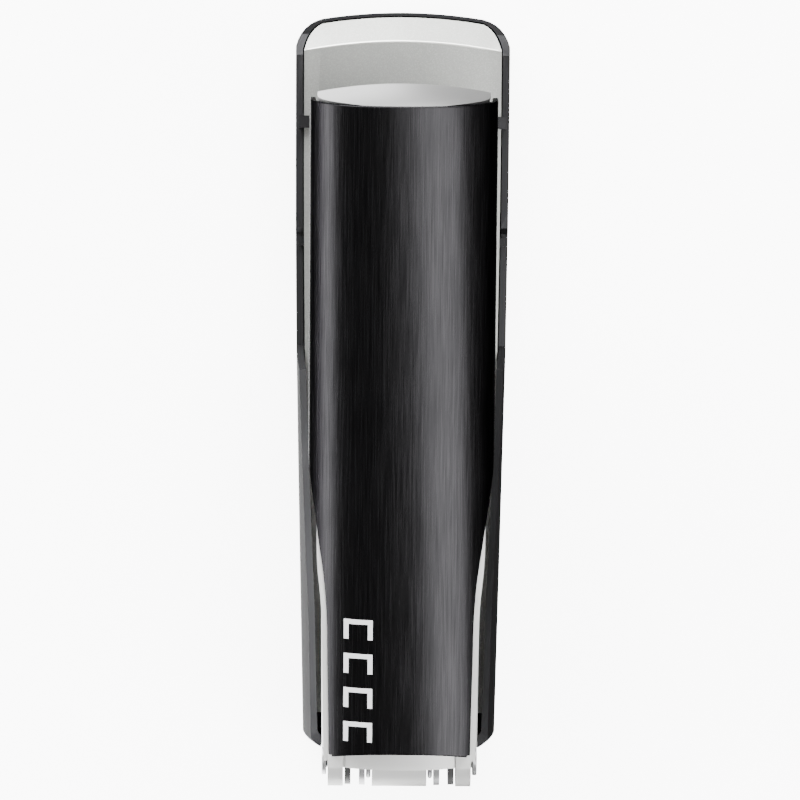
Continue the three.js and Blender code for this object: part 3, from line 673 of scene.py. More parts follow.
@dataclass
class GeometryTree:
    """A geometry node tree with named inputs, run once into a plain mesh."""

    name: str
    sizes: dict[str, float | int] = field(default_factory=dict)
    guide: list[Vector] = field(default_factory=list)

    def __post_init__(self) -> None:
        """Open the tree and declare its inputs."""
        tree = bpy.data.node_groups.new(self.name, "GeometryNodeTree")
        tree.interface.new_socket("Guide", in_out="INPUT", socket_type="NodeSocketGeometry")
        tree.interface.new_socket("Geometry", in_out="OUTPUT", socket_type="NodeSocketGeometry")
        self.identifiers: dict[str, str] = {}
        for label, value in self.sizes.items():
            kind = "NodeSocketInt" if isinstance(value, int) else "NodeSocketFloat"
            socket = tree.interface.new_socket(label, in_out="INPUT", socket_type=kind)
            self.identifiers[label] = socket.identifier
        self.graph = Graph(tree)
        self.inputs = self.graph.add("NodeGroupInput")

    def size(self, label: str) -> bpy.types.NodeSocket:
        """Return a named input's socket."""
        return self.inputs.outputs[label]

    def run(self, geometry: bpy.types.NodeSocket, finish: Finish) -> bpy.types.Mesh:
        """Finish the tree, evaluate it and return the mesh.

        Args:
            geometry: The socket with the shape.
            finish: The finish whose material the tree sets.

        Returns:
            A plain mesh.
        """
        graph = self.graph
        realized = graph.add("GeometryNodeRealizeInstances")
        graph.feed(realized.inputs[0], geometry)
        painted = graph.add("GeometryNodeSetMaterial")
        graph.feed(painted.inputs["Geometry"], realized.outputs[0])
        painted.inputs["Material"].default_value = finish.material()
        end = graph.add("NodeGroupOutput")
        graph.feed(end.inputs[0], painted.outputs[0])
        line = bpy.data.meshes.new(self.name + "_guide")
        links = [(i, i + 1) for i in range(len(self.guide) - 1)]
        line.from_pydata([tuple(p) for p in self.guide], links, [])
        holder = new_object(self.name + "_holder", line)
        modifier = holder.modifiers.new(self.name, "NODES")
        modifier.node_group = graph.tree
        for label, value in self.sizes.items():
            modifier[self.identifiers[label]] = value
        depsgraph = bpy.context.evaluated_depsgraph_get()
        mesh = bpy.data.meshes.new_from_object(holder.evaluated_get(depsgraph))
        bpy.data.objects.remove(holder)
        return mesh


def wire_mesh(
    name: str, points: list[Vector], radius: float, finish: Finish, sides: int = 12
) -> bpy.types.Mesh:
    """Sweep a round wire along points with geometry nodes.

    Args:
        name: The tree's name.
        points: The wire's middle line.
        radius: The wire's radius.
        finish: Its finish.
        sides: Sides of its section.

    Returns:
        The wire's mesh.
    """
    tree = GeometryTree(name, {"Wire radius": radius, "Sides": sides}, points)
    curve = tree.graph.add("GeometryNodeMeshToCurve")
    tree.graph.feed(curve.inputs[0], tree.inputs.outputs["Guide"])
    return tree.run(swept(tree, curve.outputs[0]), finish)


def swept(tree: GeometryTree, curve: bpy.types.NodeSocket) -> bpy.types.NodeSocket:
    """Return a curve swept into a capped wire of the tree's own sizes.

    Args:
        tree: The tree that the wire is made in.
        curve: The output that gives the wire's middle line.

    Returns:
        The output that gives the wire.
    """
    graph = tree.graph
    section = graph.add("GeometryNodeCurvePrimitiveCircle")
    graph.feed(section.inputs["Resolution"], tree.size("Sides"))
    graph.feed(section.inputs["Radius"], tree.size("Wire radius"))
    sweep = graph.add("GeometryNodeCurveToMesh")
    graph.feed(sweep.inputs["Curve"], curve)
    graph.feed(sweep.inputs["Profile Curve"], section.outputs[0])
    sweep.inputs["Fill Caps"].default_value = True
    return sweep.outputs[0]


def in_a_row(
    tree: GeometryTree, piece: bpy.types.NodeSocket, axis: int
) -> bpy.types.NodeSocket:
    """Set copies of a piece in a row, by the tree's own pitch and count.

    Args:
        tree: The tree that the row is made in, with Pitch and Count among its sizes.
        piece: The output that gives one piece.
        axis: 0 for a row along X, 1 for a row along Y.

    Returns:
        The output that gives every copy.
    """
    graph = tree.graph
    line = graph.add("GeometryNodeMeshLine", mode="OFFSET")
    graph.feed(line.inputs["Count"], tree.size("Count"))
    step = graph.add("ShaderNodeCombineXYZ")
    graph.feed(step.inputs[axis], tree.size("Pitch"))
    graph.feed(line.inputs["Offset"], step.outputs[0])
    row = graph.add("GeometryNodeInstanceOnPoints")
    graph.feed(row.inputs["Points"], line.outputs[0])
    graph.feed(row.inputs["Instance"], piece)
    return row.outputs[0]


def coil_mesh(
    name: str, radius: float, wire: float, turns: float, length: float, finish: Finish
) -> bpy.types.Mesh:
    """Make a coil spring along +Z from the origin with geometry nodes.

    Args:
        name: The tree's name.
        radius: Radius of the coil's middle line.
        wire: The wire's radius.
        turns: How many turns.
        length: The coil's length.
        finish: Its finish.

    Returns:
        The coil's mesh.
    """
    sizes = {"Coil radius": radius, "Wire radius": wire, "Turns": turns, "Length": length}
    tree = GeometryTree(name, sizes | {"Sides": 8})
    graph = tree.graph
    spiral = graph.add("GeometryNodeCurveSpiral")
    spiral.inputs["Resolution"].default_value = 28
    graph.feed(spiral.inputs["Rotations"], tree.size("Turns"))
    graph.feed(spiral.inputs["Start Radius"], tree.size("Coil radius"))
    graph.feed(spiral.inputs["End Radius"], tree.size("Coil radius"))
    graph.feed(spiral.inputs["Height"], tree.size("Length"))
    return tree.run(swept(tree, spiral.outputs[0]), finish)


# Handle ---------------------------------------------------------------------


@dataclass
class Cover:
    """The long arched top cover, cut back along a rising edge."""

    finishes: Finishes
    half_width: float = 16.5 * MM
    arch: float = 12.0 * MM
    power: float = 2.3
    top_z: float = 35.5 * MM
    wall: float = 1.0 * MM
    skirt: float = 14.0 * MM
    front_y: float = HINGE.y - 118.6 * MM
    rear_y: float = HINGE.y - 3.1 * MM
    tail: float = 1.3 * MM
    tail_power: float = 30.0
    rows: int = 118
    columns: int = 65
    edge: tuple[tuple[float, float], ...] = (
        (60.6, 14.0), (59.0, 13.8), (54.0, 10.6), (49.0, 7.9), (40.0, 5.4), (30.0, 4.0),
        (18.0, 3.7), (3.1, 3.45),
    )

    def half_at(self, depth: float, inset: float = 0.0) -> float:
        """Return half the arch's width at a depth below its top."""
        share = max(0.0, 1.0 - (depth - inset) / (self.arch - inset))
        return (self.half_width - inset) * (1.0 - share**self.power) ** (1.0 / self.power)

    def _surface(self, finish: Finish) -> bpy.types.Mesh:
        """Return the outer skin, made by geometry nodes from the arch's rule.

        Args:
            finish: The finish to set on the skin.

        Returns:
            The skin's mesh, with the cover closed.
        """
        sizes = {
            "Half width": self.half_width,
            "Arch height": self.arch,
            "Skirt": self.skirt,
            "Front": self.front_y,
            "Length": self.rear_y - self.front_y,
            "Top": self.top_z,
            "Roundness": self.power,
            "Tail": self.tail,
        }
        tree = GeometryTree("cover_skin", sizes)
        graph = tree.graph
        grid = graph.add("GeometryNodeMeshGrid")
        for label, value in (("Size X", 2.0), ("Size Y", 1.0)):
            grid.inputs[label].default_value = value
        grid.inputs["Vertices X"].default_value = self.columns
        grid.inputs["Vertices Y"].default_value = self.rows
        place = graph.add("GeometryNodeInputPosition")
        split = graph.add("ShaderNodeSeparateXYZ")
        graph.feed(split.inputs[0], place.outputs[0])
        across = split.outputs[0]
        along = graph.math("ADD", split.outputs[1], 0.5)
        depth = graph.math("MULTIPLY", self._edge_curve(graph, along), tree.size("Skirt"))
        down = graph.math("POWER", graph.math("ABSOLUTE", across), tree.size("Roundness"))
        drop = graph.math("MULTIPLY", depth, down)
        left = graph.math("SUBTRACT", 1.0, graph.math("DIVIDE", drop, tree.size("Arch height")))
        share = graph.math("POWER", graph.math("MAXIMUM", left, 0.0), tree.size("Roundness"))
        root = graph.math("DIVIDE", 1.0, tree.size("Roundness"))
        rise = graph.math("POWER", graph.math("SUBTRACT", 1.0, share), root)
        width = graph.math("MULTIPLY", rise, tree.size("Half width"))
        joined = graph.add("ShaderNodeCombineXYZ")
        graph.feed(joined.inputs[0], graph.math("MULTIPLY", width, graph.math("SIGN", across)))
        ahead = graph.math("MULTIPLY", along, tree.size("Length"))
        corner = graph.math("MULTIPLY", graph.math("POWER", along, self.tail_power), down)
        behind = graph.math("MULTIPLY", corner, tree.size("Tail"))
        start = graph.math("ADD", behind, tree.size("Front"))
        graph.feed(joined.inputs[1], graph.math("ADD", ahead, start))
        graph.feed(joined.inputs[2], graph.math("SUBTRACT", tree.size("Top"), drop))
        moved = graph.add("GeometryNodeSetPosition")
        graph.feed(moved.inputs["Geometry"], grid.outputs[0])
        graph.feed(moved.inputs["Position"], joined.outputs[0])
        return tree.run(moved.outputs[0], finish)

    def _edge_curve(self, graph: Graph, along: bpy.types.NodeSocket) -> bpy.types.NodeSocket:
        """Return the depth of the cover's edge along it, as a share of the skirt.

        Args:
            graph: The skin's node graph.
            along: The output that gives 0 at the front and 1 at the rear.

        Returns:
            The output that gives the share.
        """
        curve = graph.add("ShaderNodeFloatCurve")
        graph.feed(curve.inputs["Value"], along)
        points = curve.mapping.curves[0].points
        length = self.rear_y - self.front_y
        points[0].location = (0.0, 1.0)
        points[1].location = (1.0, self.edge[-1][1] * MM / self.skirt)
        for before, depth in self.edge[:-1]:
            share = (HINGE.y - before * MM - self.front_y) / length
            points.new(share, depth * MM / self.skirt)
        curve.mapping.update()
        return curve.outputs[0]

    def _lay_brush_map(self, mesh: bpy.types.Mesh) -> None:
        """Lay a map across the cover, so its shine spreads across the brushing.

        Args:
            mesh: The skin's mesh.
        """
        layer = mesh.uv_layers.new(name=BRUSH_MAP)
        for loop in mesh.loops:
            place = mesh.vertices[loop.vertex_index].co
            layer.data[loop.index].uv = (place.x / MM, place.y / MM)

    def build(self) -> None:
        """Build the cover and its printed mark."""
        finish = self.finishes.brushed_black()
        mesh = self._surface(finish)
        self._lay_brush_map(mesh)
        mesh.transform(HINGE.raised(HANDLE_UP))
        smooth(mesh, 60.0)
        piece = new_object("cover_shell", mesh)
        wall = piece.modifiers.new("wall", "SOLIDIFY")
        wall.thickness = self.wall
        wall.offset = -1.0
        wall.use_even_offset = True
        rounded(piece, 0.22 * MM, 3, 50.0)
        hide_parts("top_cover")
        dress(piece, Part.HANDLE, finish)
        self._print_mark()

    def on_skin(self, x: float, y: float, proud: float) -> Vector:
        """Return a point of the closed cover's skin, raised a little.

        Args:
            x: The point's X, in metres.
            y: Its Y.
            proud: How far it stands over the skin.

        Returns:
            The point, with the cover closed.
        """
        low, high = 0.0, self.arch
        for _ in range(HALVINGS):
            middle = (low + high) / 2.0
            if self.half_at(middle) < abs(x):
                low = middle
            else:
                high = middle
        return Vector((x, y, self.top_z - low + proud))

    def _print_mark(self) -> None:
        """Print a row of plain staple outlines on the cover's left rear."""
        points: list[Vector] = []
        faces: list[tuple[int, ...]] = []
        mark = StapleMark()
        for number in range(mark.count):
            start = HINGE.y - mark.from_hinge + number * mark.pitch
            for x0, x1, y0, y1 in mark.bars(start):
                first = len(points)
                for i in range(mark.steps + 1):
                    x = x0 + (x1 - x0) * i / mark.steps
                    points.append(self.on_skin(x, y0, mark.proud))
                    points.append(self.on_skin(x, y1, mark.proud))
                for i in range(mark.steps):
                    a = first + 2 * i
                    faces.append((a, a + 2, a + 3, a + 1))
        mesh = mesh_from("printed_mark", points, faces)
        mesh.transform(HINGE.raised(HANDLE_UP))
        piece = new_object("printed_mark", mesh)
        skin = piece.modifiers.new("ink", "SOLIDIFY")
        skin.thickness = 0.03 * MM
        skin.offset = 0.0
        dress(piece, Part.HANDLE, self.finishes.white_ink())


@dataclass(frozen=True)
class StapleMark:
    """A plain printed row of staple outlines."""

    count: int = 4
    pitch: float = 6.2 * MM
    from_hinge: float = 27.5 * MM
    inner_x: float = 4.9 * MM
    outer_x: float = 10.0 * MM
    depth: float = 3.6 * MM
    line: float = 0.85 * MM
    proud: float = 0.03 * MM
    steps: int = 8

    def bars(self, start: float) -> list[tuple[float, float, float, float]]:
        """Return one outline's crown and two legs as boxes in X and Y.

        Args:
            start: The outline's least Y, in metres.

        Returns:
            Each box's least and greatest X, then its least and greatest Y.
        """
        crown = (self.inner_x, self.outer_x, start, start + self.line)
        legs_from = start + self.line
        inner = (self.inner_x, self.inner_x + self.line, legs_from, start + self.depth)
        outer = (self.outer_x - self.line, self.outer_x, legs_from, start + self.depth)
        return [crown, inner, outer]


@dataclass
class Nose:
    """The curved silver cap under the cover's front edge."""

    finishes: Finishes
    cover: Cover
    wall: float = 1.0 * MM
    inset: float = 1.3 * MM
    front_y: float = HINGE.y - 120.8 * MM
    bottom_z: float = 19.8 * MM
    sag: float = 1.5 * MM
    crowding: float = 1.4
    rows: int = 30
    columns: int = 49

    def face_y(self, share: float) -> tuple[float, float]:
        """Return Y and Z of the nose's face, a share of the way down it.

        Args:
            share: 0 at the cover's edge, 1 at the bottom.

        Returns:
            Y and Z, in metres.
        """
        top = Vector((self.cover.front_y + 0.4 * MM, self.cover.top_z - self.inset - 0.05 * MM))
        middle = Vector((self.front_y + 0.2 * MM, self.cover.top_z - self.inset - 2.0 * MM))
        end = Vector((self.front_y, self.bottom_z))
        point = top * (1 - share) ** 2 + middle * 2 * share * (1 - share) + end * share**2
        return point.x, point.y

    def build(self) -> None:
        """Build the cap."""
        half = self.cover.half_width - self.inset
        points: list[Vector] = []
        for row in range(self.rows):
            y, z = self.face_y((row / (self.rows - 1)) ** self.crowding)
            limit = self.cover.half_at(self.cover.top_z - z, self.inset)
            for column in range(self.columns):
                x = limit * (2.0 * column / (self.columns - 1) - 1.0)
                points.append(Vector((x, y + self.sag * (x / half) ** 2, z)))
        faces = []
        for row in range(self.rows - 1):
            for column in range(self.columns - 1):
                a = row * self.columns + column
                faces.append((a, a + self.columns, a + self.columns + 1, a + 1))
        mesh = mesh_from("nose_shell", points, faces)
        mesh.transform(HINGE.raised(HANDLE_UP))
        smooth(mesh, 60.0)
        piece = new_object("nose_shell", mesh)
        wall = piece.modifiers.new("wall", "SOLIDIFY")
        wall.thickness = self.wall
        wall.offset = -1.0
        rounded(piece, 0.25 * MM, 3, 50.0)
        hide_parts("nose_cap")
        dress(piece, Part.HANDLE, self.finishes.dull_silver())


@dataclass
class Handle:
    """The cover, the nose, the frame and what drives the staples."""

    finishes: Finishes

    def build(self) -> None:
        """Build every piece of the handle."""
        cover = Cover(self.finishes)
        cover.build()
        Nose(self.finishes, cover).build()
        steel = self.finishes.sheet_steel()
        silver = self.finishes.satin_silver()
        white = self.finishes.white_plastic()
        Refined("handle_frame", Part.HANDLE, silver, "satin_silver", 0.3 * MM, 3).build()
        Refined("driver_blade", Part.HANDLE, steel, "sheet_steel", 0.06 * MM).build()
        Refined("driver_holder", Part.HANDLE, white, "white_pom", 0.3 * MM, 3).build()
        for side in Side:
            name = "driver_rivet_" + side.name.lower()
            Refined(name, Part.HANDLE, steel, "sheet_steel", 0.2 * MM, 3).build()


# Magazine -------------------------------------------------------------------


@dataclass
class StapleRow:
    """The row of wire staples, one by one."""

    finishes: Finishes
    crown: float = 12.7 * MM
    height: float = 6.5 * MM
    wire: float = 0.5 * MM
    pitch: float = 0.51 * MM
    front_y: float = -50.12 * MM
    top_z: float = 21.4 * MM
    length: float = 41.0 * MM
    flatness: float = 0.92

    def build(self) -> None:
        """Build the row with geometry nodes, one staple instanced along a line."""
        finish = self.finishes.staple_wire()
        count = int(self.length / self.pitch)
        sizes = {
            "Crown": self.crown - self.wire,
            "Leg": self.height - self.wire,
            "Wire": self.wire,
            "Pitch": self.pitch,
            "Count": count,
            "Corner": 0.5 * MM,
        }
        tree = GeometryTree("staple_row", sizes)
        graph = tree.graph
        path = self._staple_path(tree)
        section = graph.add("GeometryNodeCurvePrimitiveQuadrilateral")
        graph.feed(section.inputs[0], tree.size("Wire"))
        graph.feed(section.inputs[1], graph.math("MULTIPLY", tree.size("Wire"), self.flatness))
        sweep = graph.add("GeometryNodeCurveToMesh")
        graph.feed(sweep.inputs["Curve"], path)
        graph.feed(sweep.inputs["Profile Curve"], section.outputs[0])
        sweep.inputs["Fill Caps"].default_value = True
        mesh = tree.run(in_a_row(tree, sweep.outputs[0], 1), finish)
        lift = self.top_z - self.height + self.wire * 0.5
        start = (0.0, self.front_y + self.wire / 2, lift - self.wire / 2)
        mesh.transform(Matrix.Translation(start))
        mesh.transform(HINGE.raised(MAGAZINE_UP))
        smooth(mesh, 35.0)
        piece = new_object("staple_row", mesh)
        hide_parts("staple_strip")
        dress(piece, Part.MAGAZINE, finish)

    def _staple_path(self, tree: GeometryTree) -> bpy.types.NodeSocket:
        """Return one staple's middle line, with rounded corners.

        Args:
            tree: The tree that the staples are made in.

        Returns:
            The output that gives the middle line.
        """
        graph = tree.graph
        line = graph.add("GeometryNodeMeshLine", mode="OFFSET")
        line.inputs["Count"].default_value = 4
        half = graph.math("MULTIPLY", tree.size("Crown"), 0.5)
        back = graph.math("MULTIPLY", half, -1.0)
        ends = ((back, 0.0), (back, tree.size("Leg")), (half, tree.size("Leg")), (half, 0.0))
        placed = line.outputs[0]
        index = graph.add("GeometryNodeInputIndex").outputs[0]
        for number, (x, z) in enumerate(ends):
            chosen = graph.add("FunctionNodeCompare", data_type="INT", operation="EQUAL")
            graph.feed(chosen.inputs[2], index)
            chosen.inputs[3].default_value = number
            spot = graph.add("ShaderNodeCombineXYZ")
            graph.feed(spot.inputs[0], x)
            graph.feed(spot.inputs[2], z)
            move = graph.add("GeometryNodeSetPosition")
            graph.feed(move.inputs["Geometry"], placed)
            graph.feed(move.inputs["Selection"], chosen.outputs[0])
            graph.feed(move.inputs["Position"], spot.outputs[0])
            placed = move.outputs[0]
        curve = graph.add("GeometryNodeMeshToCurve")
        graph.feed(curve.inputs[0], placed)
        fillet = graph.add("GeometryNodeFilletCurve")
        graph.feed(fillet.inputs["Curve"], curve.outputs[0])
        graph.feed(fillet.inputs["Radius"], tree.size("Corner"))
        return fillet.outputs[0]


@dataclass
class Magazine:
    """The channel, rail, follower, springs and yoke."""

    finishes: Finishes
    hairpin_x: float = 5.5 * MM
    hairpin_radius: float = 2.8 * MM
    hairpin_wire: float = 0.4 * MM
    hairpin_bend: tuple[int, float, float] = (17, -100.0, 12.5)
    leaf_share: float = 0.72

    def build(self) -> None:
        """Build every piece of the magazine."""
        steel = self.finishes.sheet_steel()
        white = self.finishes.white_plastic()
        black = self.finishes.black_plastic()
        for node in ("magazine_channel", "magazine_front_plate", "staple_rail", "magazine_yoke"):
            Refined(node, Part.MAGAZINE, steel, "sheet_steel", 0.18 * MM).build()
        for node in ("front_rod_block", "rear_rod_block"):
            Refined(node, Part.MAGAZINE, white, "white_pom", 0.2 * MM).build()
        Refined("follower_rod", Part.MAGAZINE, steel, "sheet_steel", 0.1 * MM).build()
        leaf = Refined("handle_leaf_spring", Part.MAGAZINE, steel, "sheet_steel", 0.08 * MM).build()
        self._press(leaf.data)
        Refined("follower", Part.FOLLOWER, black, "black_pom", 0.3 * MM, 3).build()
        StapleRow(self.finishes).build()
        self._follower_spring()
        for side in Side:
            self._hairpin(side)

    def _press(self, mesh: bpy.types.Mesh) -> None:
        """Press the leaf spring down, to leave room for the closed handle.

        Args:
            mesh: The leaf spring's mesh, which is changed in place.
        """
        mesh.transform(HINGE.raised(-MAGAZINE_UP))
        foot = min(v.co.z for v in mesh.vertices)
        for vertex in mesh.vertices:
            vertex.co.z = foot + (vertex.co.z - foot) * self.leaf_share
        mesh.transform(HINGE.raised(MAGAZINE_UP))

    def _follower_spring(self) -> None:
        """Build the long spring behind the follower."""
        low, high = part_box("follower_spring")
        steel = self.finishes.sheet_steel()
        tilt = math.radians(MAGAZINE_UP)
        length = (high.y - low.y) / math.cos(tilt) - 0.6 * MM
        mesh = coil_mesh("follower_coil", 1.8 * MM, 0.22 * MM, 13.0, length, steel)
        start = Vector((0.0, low.y + 0.3 * MM, high.z - 2.15 * MM))
        along = Matrix.Rotation(-math.pi / 2 - tilt, 4, "X")
        mesh.transform(Matrix.Translation(start) @ along)
        smooth(mesh, 60.0)
        piece = new_object("follower_coil", mesh)
        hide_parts("follower_spring")
        dress(piece, None, steel)
        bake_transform(piece)

    def _hairpin(self, side: Side) -> None:
        """Build one hairpin spring round the pin.

        Args:
            side: The side of the barrel that it is on.
        """
        x = side.value * self.hairpin_x
        points = [Vector((x, HINGE.y - 9.0 * MM, HINGE.z - 5.2 * MM))]
        steps, first, turn = self.hairpin_bend
        for i in range(steps):
            angle = math.radians(first + turn * i)
            out = self.hairpin_radius
            y, z = HINGE.y + out * math.cos(angle), HINGE.z + out * math.sin(angle)
            points.append(Vector((x, y, z)))
        points.append(Vector((x, HINGE.y - 9.0 * MM, HINGE.z + 1.2 * MM)))
        steel = self.finishes.sheet_steel()
        name = "hairpin_" + side.name.lower()
        mesh = wire_mesh(name, points, self.hairpin_wire, steel)
        mesh.transform(HINGE.raised(MAGAZINE_UP))
        smooth(mesh, 60.0)
        piece = new_object(name, mesh)
        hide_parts("hairpin_spring_" + side.name.lower())
        dress(piece, Part.MAGAZINE, steel)


# Base -----------------------------------------------------------------------


@dataclass
class Foot:
    """A ribbed rubber foot."""

    finishes: Finishes
    node: str
    ribs: int = 9
    rib_height: float = 0.5 * MM
    rib_width: float = 0.6
    rib_length: float = 0.92

    def build(self) -> None:
        """Build the foot's pad and its ribs with geometry nodes."""
        low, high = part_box(self.node)
        finish = self.finishes.rubber()
        width, length = high.x - low.x, high.y - low.y
        pitch = width / self.ribs
        length *= self.rib_length
        sizes = {"Pitch": pitch, "Count": self.ribs, "Rib": self.rib_height, "Length": length}
        tree = GeometryTree(self.node + "_ribs", sizes)
        graph = tree.graph
        rib = graph.add("GeometryNodeMeshCube")
        size = graph.add("ShaderNodeCombineXYZ")
        graph.feed(size.inputs[0], graph.math("MULTIPLY", tree.size("Pitch"), self.rib_width))
        graph.feed(size.inputs[1], tree.size("Length"))
        graph.feed(size.inputs[2], graph.math("MULTIPLY", tree.size("Rib"), 1.5))
        graph.feed(rib.inputs["Size"], size.outputs[0])
        mesh = tree.run(in_a_row(tree, rib.outputs[0], 0), finish)
        start = Vector((low.x + pitch / 2, (low.y + high.y) / 2, low.z + self.rib_height * 0.75))
        mesh.transform(Matrix.Translation(start))
        work = bmesh.new()
        work.from_mesh(mesh)
        self._pad(work, low, high)
        work.to_mesh(mesh)
        work.free()
        smooth(mesh, 30.0)
        piece = new_object(self.node + "_ribbed", mesh)
        rounded(piece, 0.12 * MM, 2)
        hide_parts(self.node)
        dress(piece, Part.BASE, finish)

    def _pad(self, work: bmesh.types.BMesh, low: Vector, high: Vector) -> None:
        """Add the pad that the ribs stand on.

        Args:
            work: The foot's mesh while it is worked on.
            low: The foot's lowest corner.
            high: The foot's highest corner.
        """
        bottom = low.z + self.rib_height
        made = bmesh.ops.create_cube(work, size=1.0)
        centre = Vector(((low.x + high.x) / 2, (low.y + high.y) / 2, (bottom + high.z) / 2))
        size = Vector((high.x - low.x, high.y - low.y, high.z - bottom))
        place = Matrix.Translation(centre) @ Matrix.Diagonal((*size, 1.0))
        bmesh.ops.transform(work, matrix=place, verts=made["verts"])


@dataclass
class Base:
    """The base shell, its plate, the anvil and the hinge bracket."""

    finishes: Finishes
    fold_y: float = -64.5 * MM
    fold_z: float = 10.0 * MM
    fold_radius: float = 0.4 * MM
    fold_half: float = 17.3 * MM
    fold_sunk: float = 0.9
    fold_lean: float = 0.352
    fold_steps: int = 32
    fold_sag: float = 2.1 * MM
    plate_half: float = 19.6 * MM
    plate_crown: float = 0.6 * MM
    shoulder: float = 1.8 * MM

    def build(self) -> None:
        """Build every piece of the base."""
        black = self.finishes.black_plastic()
        steel = self.finishes.sheet_steel()
        slope = self.shoulder
        Refined(
            "base_shell", Part.BASE, black, "black_shell", 0.25 * MM, 3, 24.0, shoulder=slope
        ).build()
        sparkle = self.finishes.sparkle_silver()
        crown = self.plate_crown
        Refined("base_plate", Part.BASE, sparkle, "silver_paint", 0.5 * MM, 4, 24.0, crown).build()
        self._fold()
        dark = self.finishes.dark_steel()
        Refined("base_bracket", Part.BASE, dark, "dark_steel", 0.15 * MM).build()
        for node in ("base_screw_1", "base_screw_2", "hinge_pin", "hinge_pin_washer"):
            Refined(node, Part.BASE, steel, "sheet_steel", 0.2 * MM, 3).build()
        Refined("anvil_plate", Part.ANVIL, steel, "sheet_steel", 0.15 * MM, 3).build()
        Refined("anvil_button", Part.LIFTER, black, "black_pom", 0.3 * MM, 3).build()
        for node in ("front_foot", "rear_foot"):
            Foot(self.finishes, node).build()
        self._anvil_spring()

    def _fold(self) -> None:
        """Round the plate's front fold with a thin bead, whose light silver is a painted highlight
        and whose curve also catches the lamps.
        """
        points = []
        low = self.fold_sunk * self.fold_radius
        for i in range(self.fold_steps + 1):
            x = self.fold_half * (2.0 * i / self.fold_steps - 1.0)
            y = self.fold_y + low * self.fold_lean + self.fold_sag * (x / self.plate_half) ** 2
            z = self.fold_z - low - self.plate_crown * (x / self.fold_half) ** 2
            points.append(Vector((x, y, z)))
        # The bead's light silver is a painted highlight along the fold.
        finish = self.finishes.fold_highlight_silver()
        mesh = wire_mesh("plate_fold_highlight", points, self.fold_radius, finish, 24)
        smooth(mesh, 60.0)
        dress(new_object("plate_fold_highlight", mesh), Part.BASE, finish)

    def _anvil_spring(self) -> None:
        """Build the spring that holds the anvil's button down."""
        low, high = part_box("anvil_spring")
        steel = self.finishes.sheet_steel()
        wire = 0.3 * MM
        radius = (high.x - low.x) / 2 - wire
        length = high.z - low.z - 2.2 * wire
        mesh = coil_mesh("anvil_coil", radius, wire, 3.0, length, steel)
        middle = Vector(((low.x + high.x) / 2, (low.y + high.y) / 2, low.z + 1.1 * wire))
        mesh.transform(Matrix.Translation(middle))
        smooth(mesh, 60.0)
        piece = new_object("anvil_coil", mesh)
        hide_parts("anvil_spring")
        dress(piece, None, steel)
        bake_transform(piece)


# Studio ---------------------------------------------------------------------


@dataclass
class Softbox:
    """One soft light that looks at the stapler."""

    name: str
    place: tuple[float, float, float]
    size: tuple[float, float]
    watts: float

    def build(self) -> None:
        """Hang the light."""
        light = bpy.data.lights.new(self.name, "AREA")
        light.shape = "RECTANGLE"
        light.size, light.size_y = self.size
        light.energy = self.watts
        holder = bpy.data.objects.new(self.name, light)
        bpy.context.scene.collection.objects.link(holder)
        holder.location = self.place
        look = Vector((0.0, 0.0, 0.02)) - Vector(self.place)
        holder.rotation_euler = look.to_track_quat("-Z", "Y").to_euler()


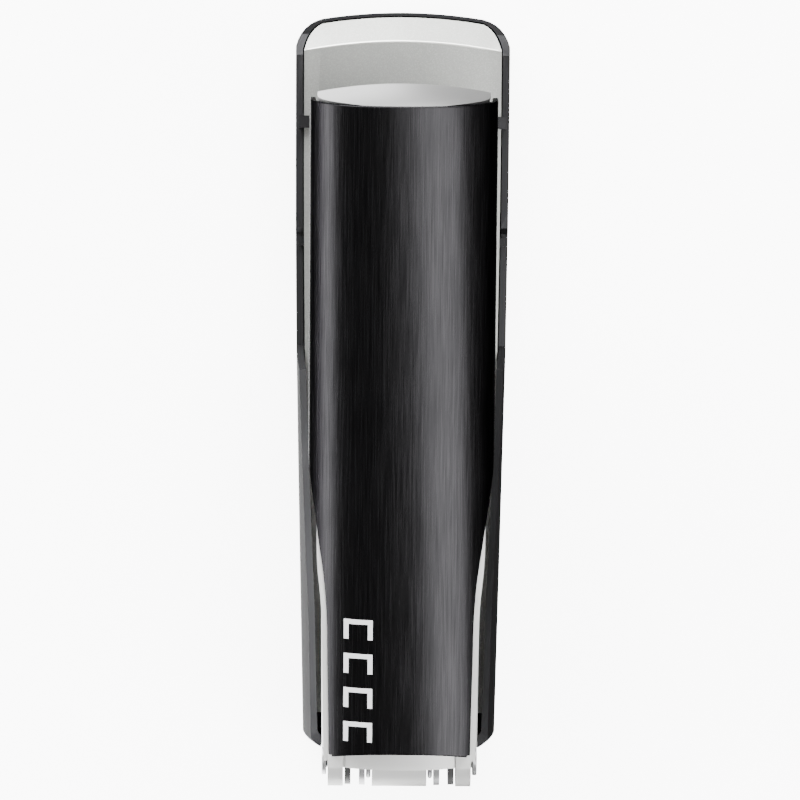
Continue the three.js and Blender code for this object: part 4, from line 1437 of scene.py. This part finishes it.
@dataclass
class Studio:
    """A pale floor, soft lights and a camera straight above."""

    camera_x: float = 6.5 * MM
    camera_y: float = 1.0 * MM
    camera_height: float = 900.0 * MM
    lens_mm: float = 219.6
    shift_x: float = 0.0436
    shift_y: float = 0.0
    yaw_deg: float = 0.38
    floor_size: float = 6.0
    sky: float = 0.3
    boxes: tuple[Softbox, ...] = (
        Softbox("key_softbox", (-0.6, 0.36, 0.84), (0.45, 1.5), 22.0),
        Softbox("front_softbox", (0.15, -1.1, 0.55), (1.8, 0.7), 90.0),
        Softbox("left_softbox", (0.7, 0.1, 0.12), (1.2, 0.24), 10.0),
    )

    def build(self) -> None:
        """Build the floor, the lights, the sky and the camera."""
        for side in Side:
            self._floor(side)
        self._sky()
        for box in self.boxes:
            box.build()
        self._camera()

    def _floor(self, side: Side) -> None:
        """Build one side's half of the floor; only the left half shows in reflections.

        Args:
            side: The half to build.
        """
        far = self.floor_size / 2
        ends = sorted((0.0, far * side.value))
        corners = [Vector((x, y, 0.0)) for x, y in zip(ends + ends[::-1], (-far, -far, far, far))]
        name = "floor_" + side.name.lower()
        mesh = mesh_from(name, corners, [(0, 1, 2, 3)])
        floor = new_object(name, mesh)
        paper = Finish(
            "floor_paper",
            (0.95, 0.95, 0.95),
            roughness=0.9,
            grain_per_m=(60.0, 60.0, 60.0),
            shade_change=0.01,
            roughness_change=0.02,
            bump=0.02,
            glow=7.0,
        )
        mesh.materials.append(paper.material())
        floor.visible_glossy = side is Side.LEFT
        floor.visible_diffuse = False

    def _sky(self) -> None:
        """Light the room evenly."""
        world = bpy.data.worlds.new("room")
        world.use_nodes = True
        background = world.node_tree.nodes["Background"]
        background.inputs["Color"].default_value = (1.0, 1.0, 1.0, 1.0)
        background.inputs["Strength"].default_value = self.sky
        bpy.context.scene.world = world

    def _camera(self) -> None:
        """Hang the camera, with the stapler's front at the picture's top."""
        data = bpy.data.cameras.new("camera")
        data.lens = self.lens_mm
        data.sensor_width = 36.0
        data.shift_x = self.shift_x
        data.shift_y = self.shift_y
        data.clip_start = 0.05
        data.clip_end = 50.0
        camera = bpy.data.objects.new("camera", data)
        bpy.context.scene.collection.objects.link(camera)
        camera.location = (self.camera_x, self.camera_y, self.camera_height)
        camera.rotation_euler = (0.0, 0.0, math.pi + math.radians(self.yaw_deg))
        bpy.context.scene.camera = camera


def main() -> None:
    """Build the stapler and its studio."""
    logging.basicConfig(level=logging.INFO, format="%(message)s")
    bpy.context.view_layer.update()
    finishes = Finishes()
    Base(finishes).build()
    Magazine(finishes).build()
    Handle(finishes).build()
    Studio().build()


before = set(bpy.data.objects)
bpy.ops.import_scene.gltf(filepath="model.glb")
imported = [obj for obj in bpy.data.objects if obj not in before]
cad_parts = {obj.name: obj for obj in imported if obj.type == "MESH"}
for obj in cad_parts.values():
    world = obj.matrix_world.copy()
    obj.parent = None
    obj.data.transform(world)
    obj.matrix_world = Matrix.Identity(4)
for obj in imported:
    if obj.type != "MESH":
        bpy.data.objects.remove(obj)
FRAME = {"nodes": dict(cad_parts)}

if __name__ == "__main__":
    main()
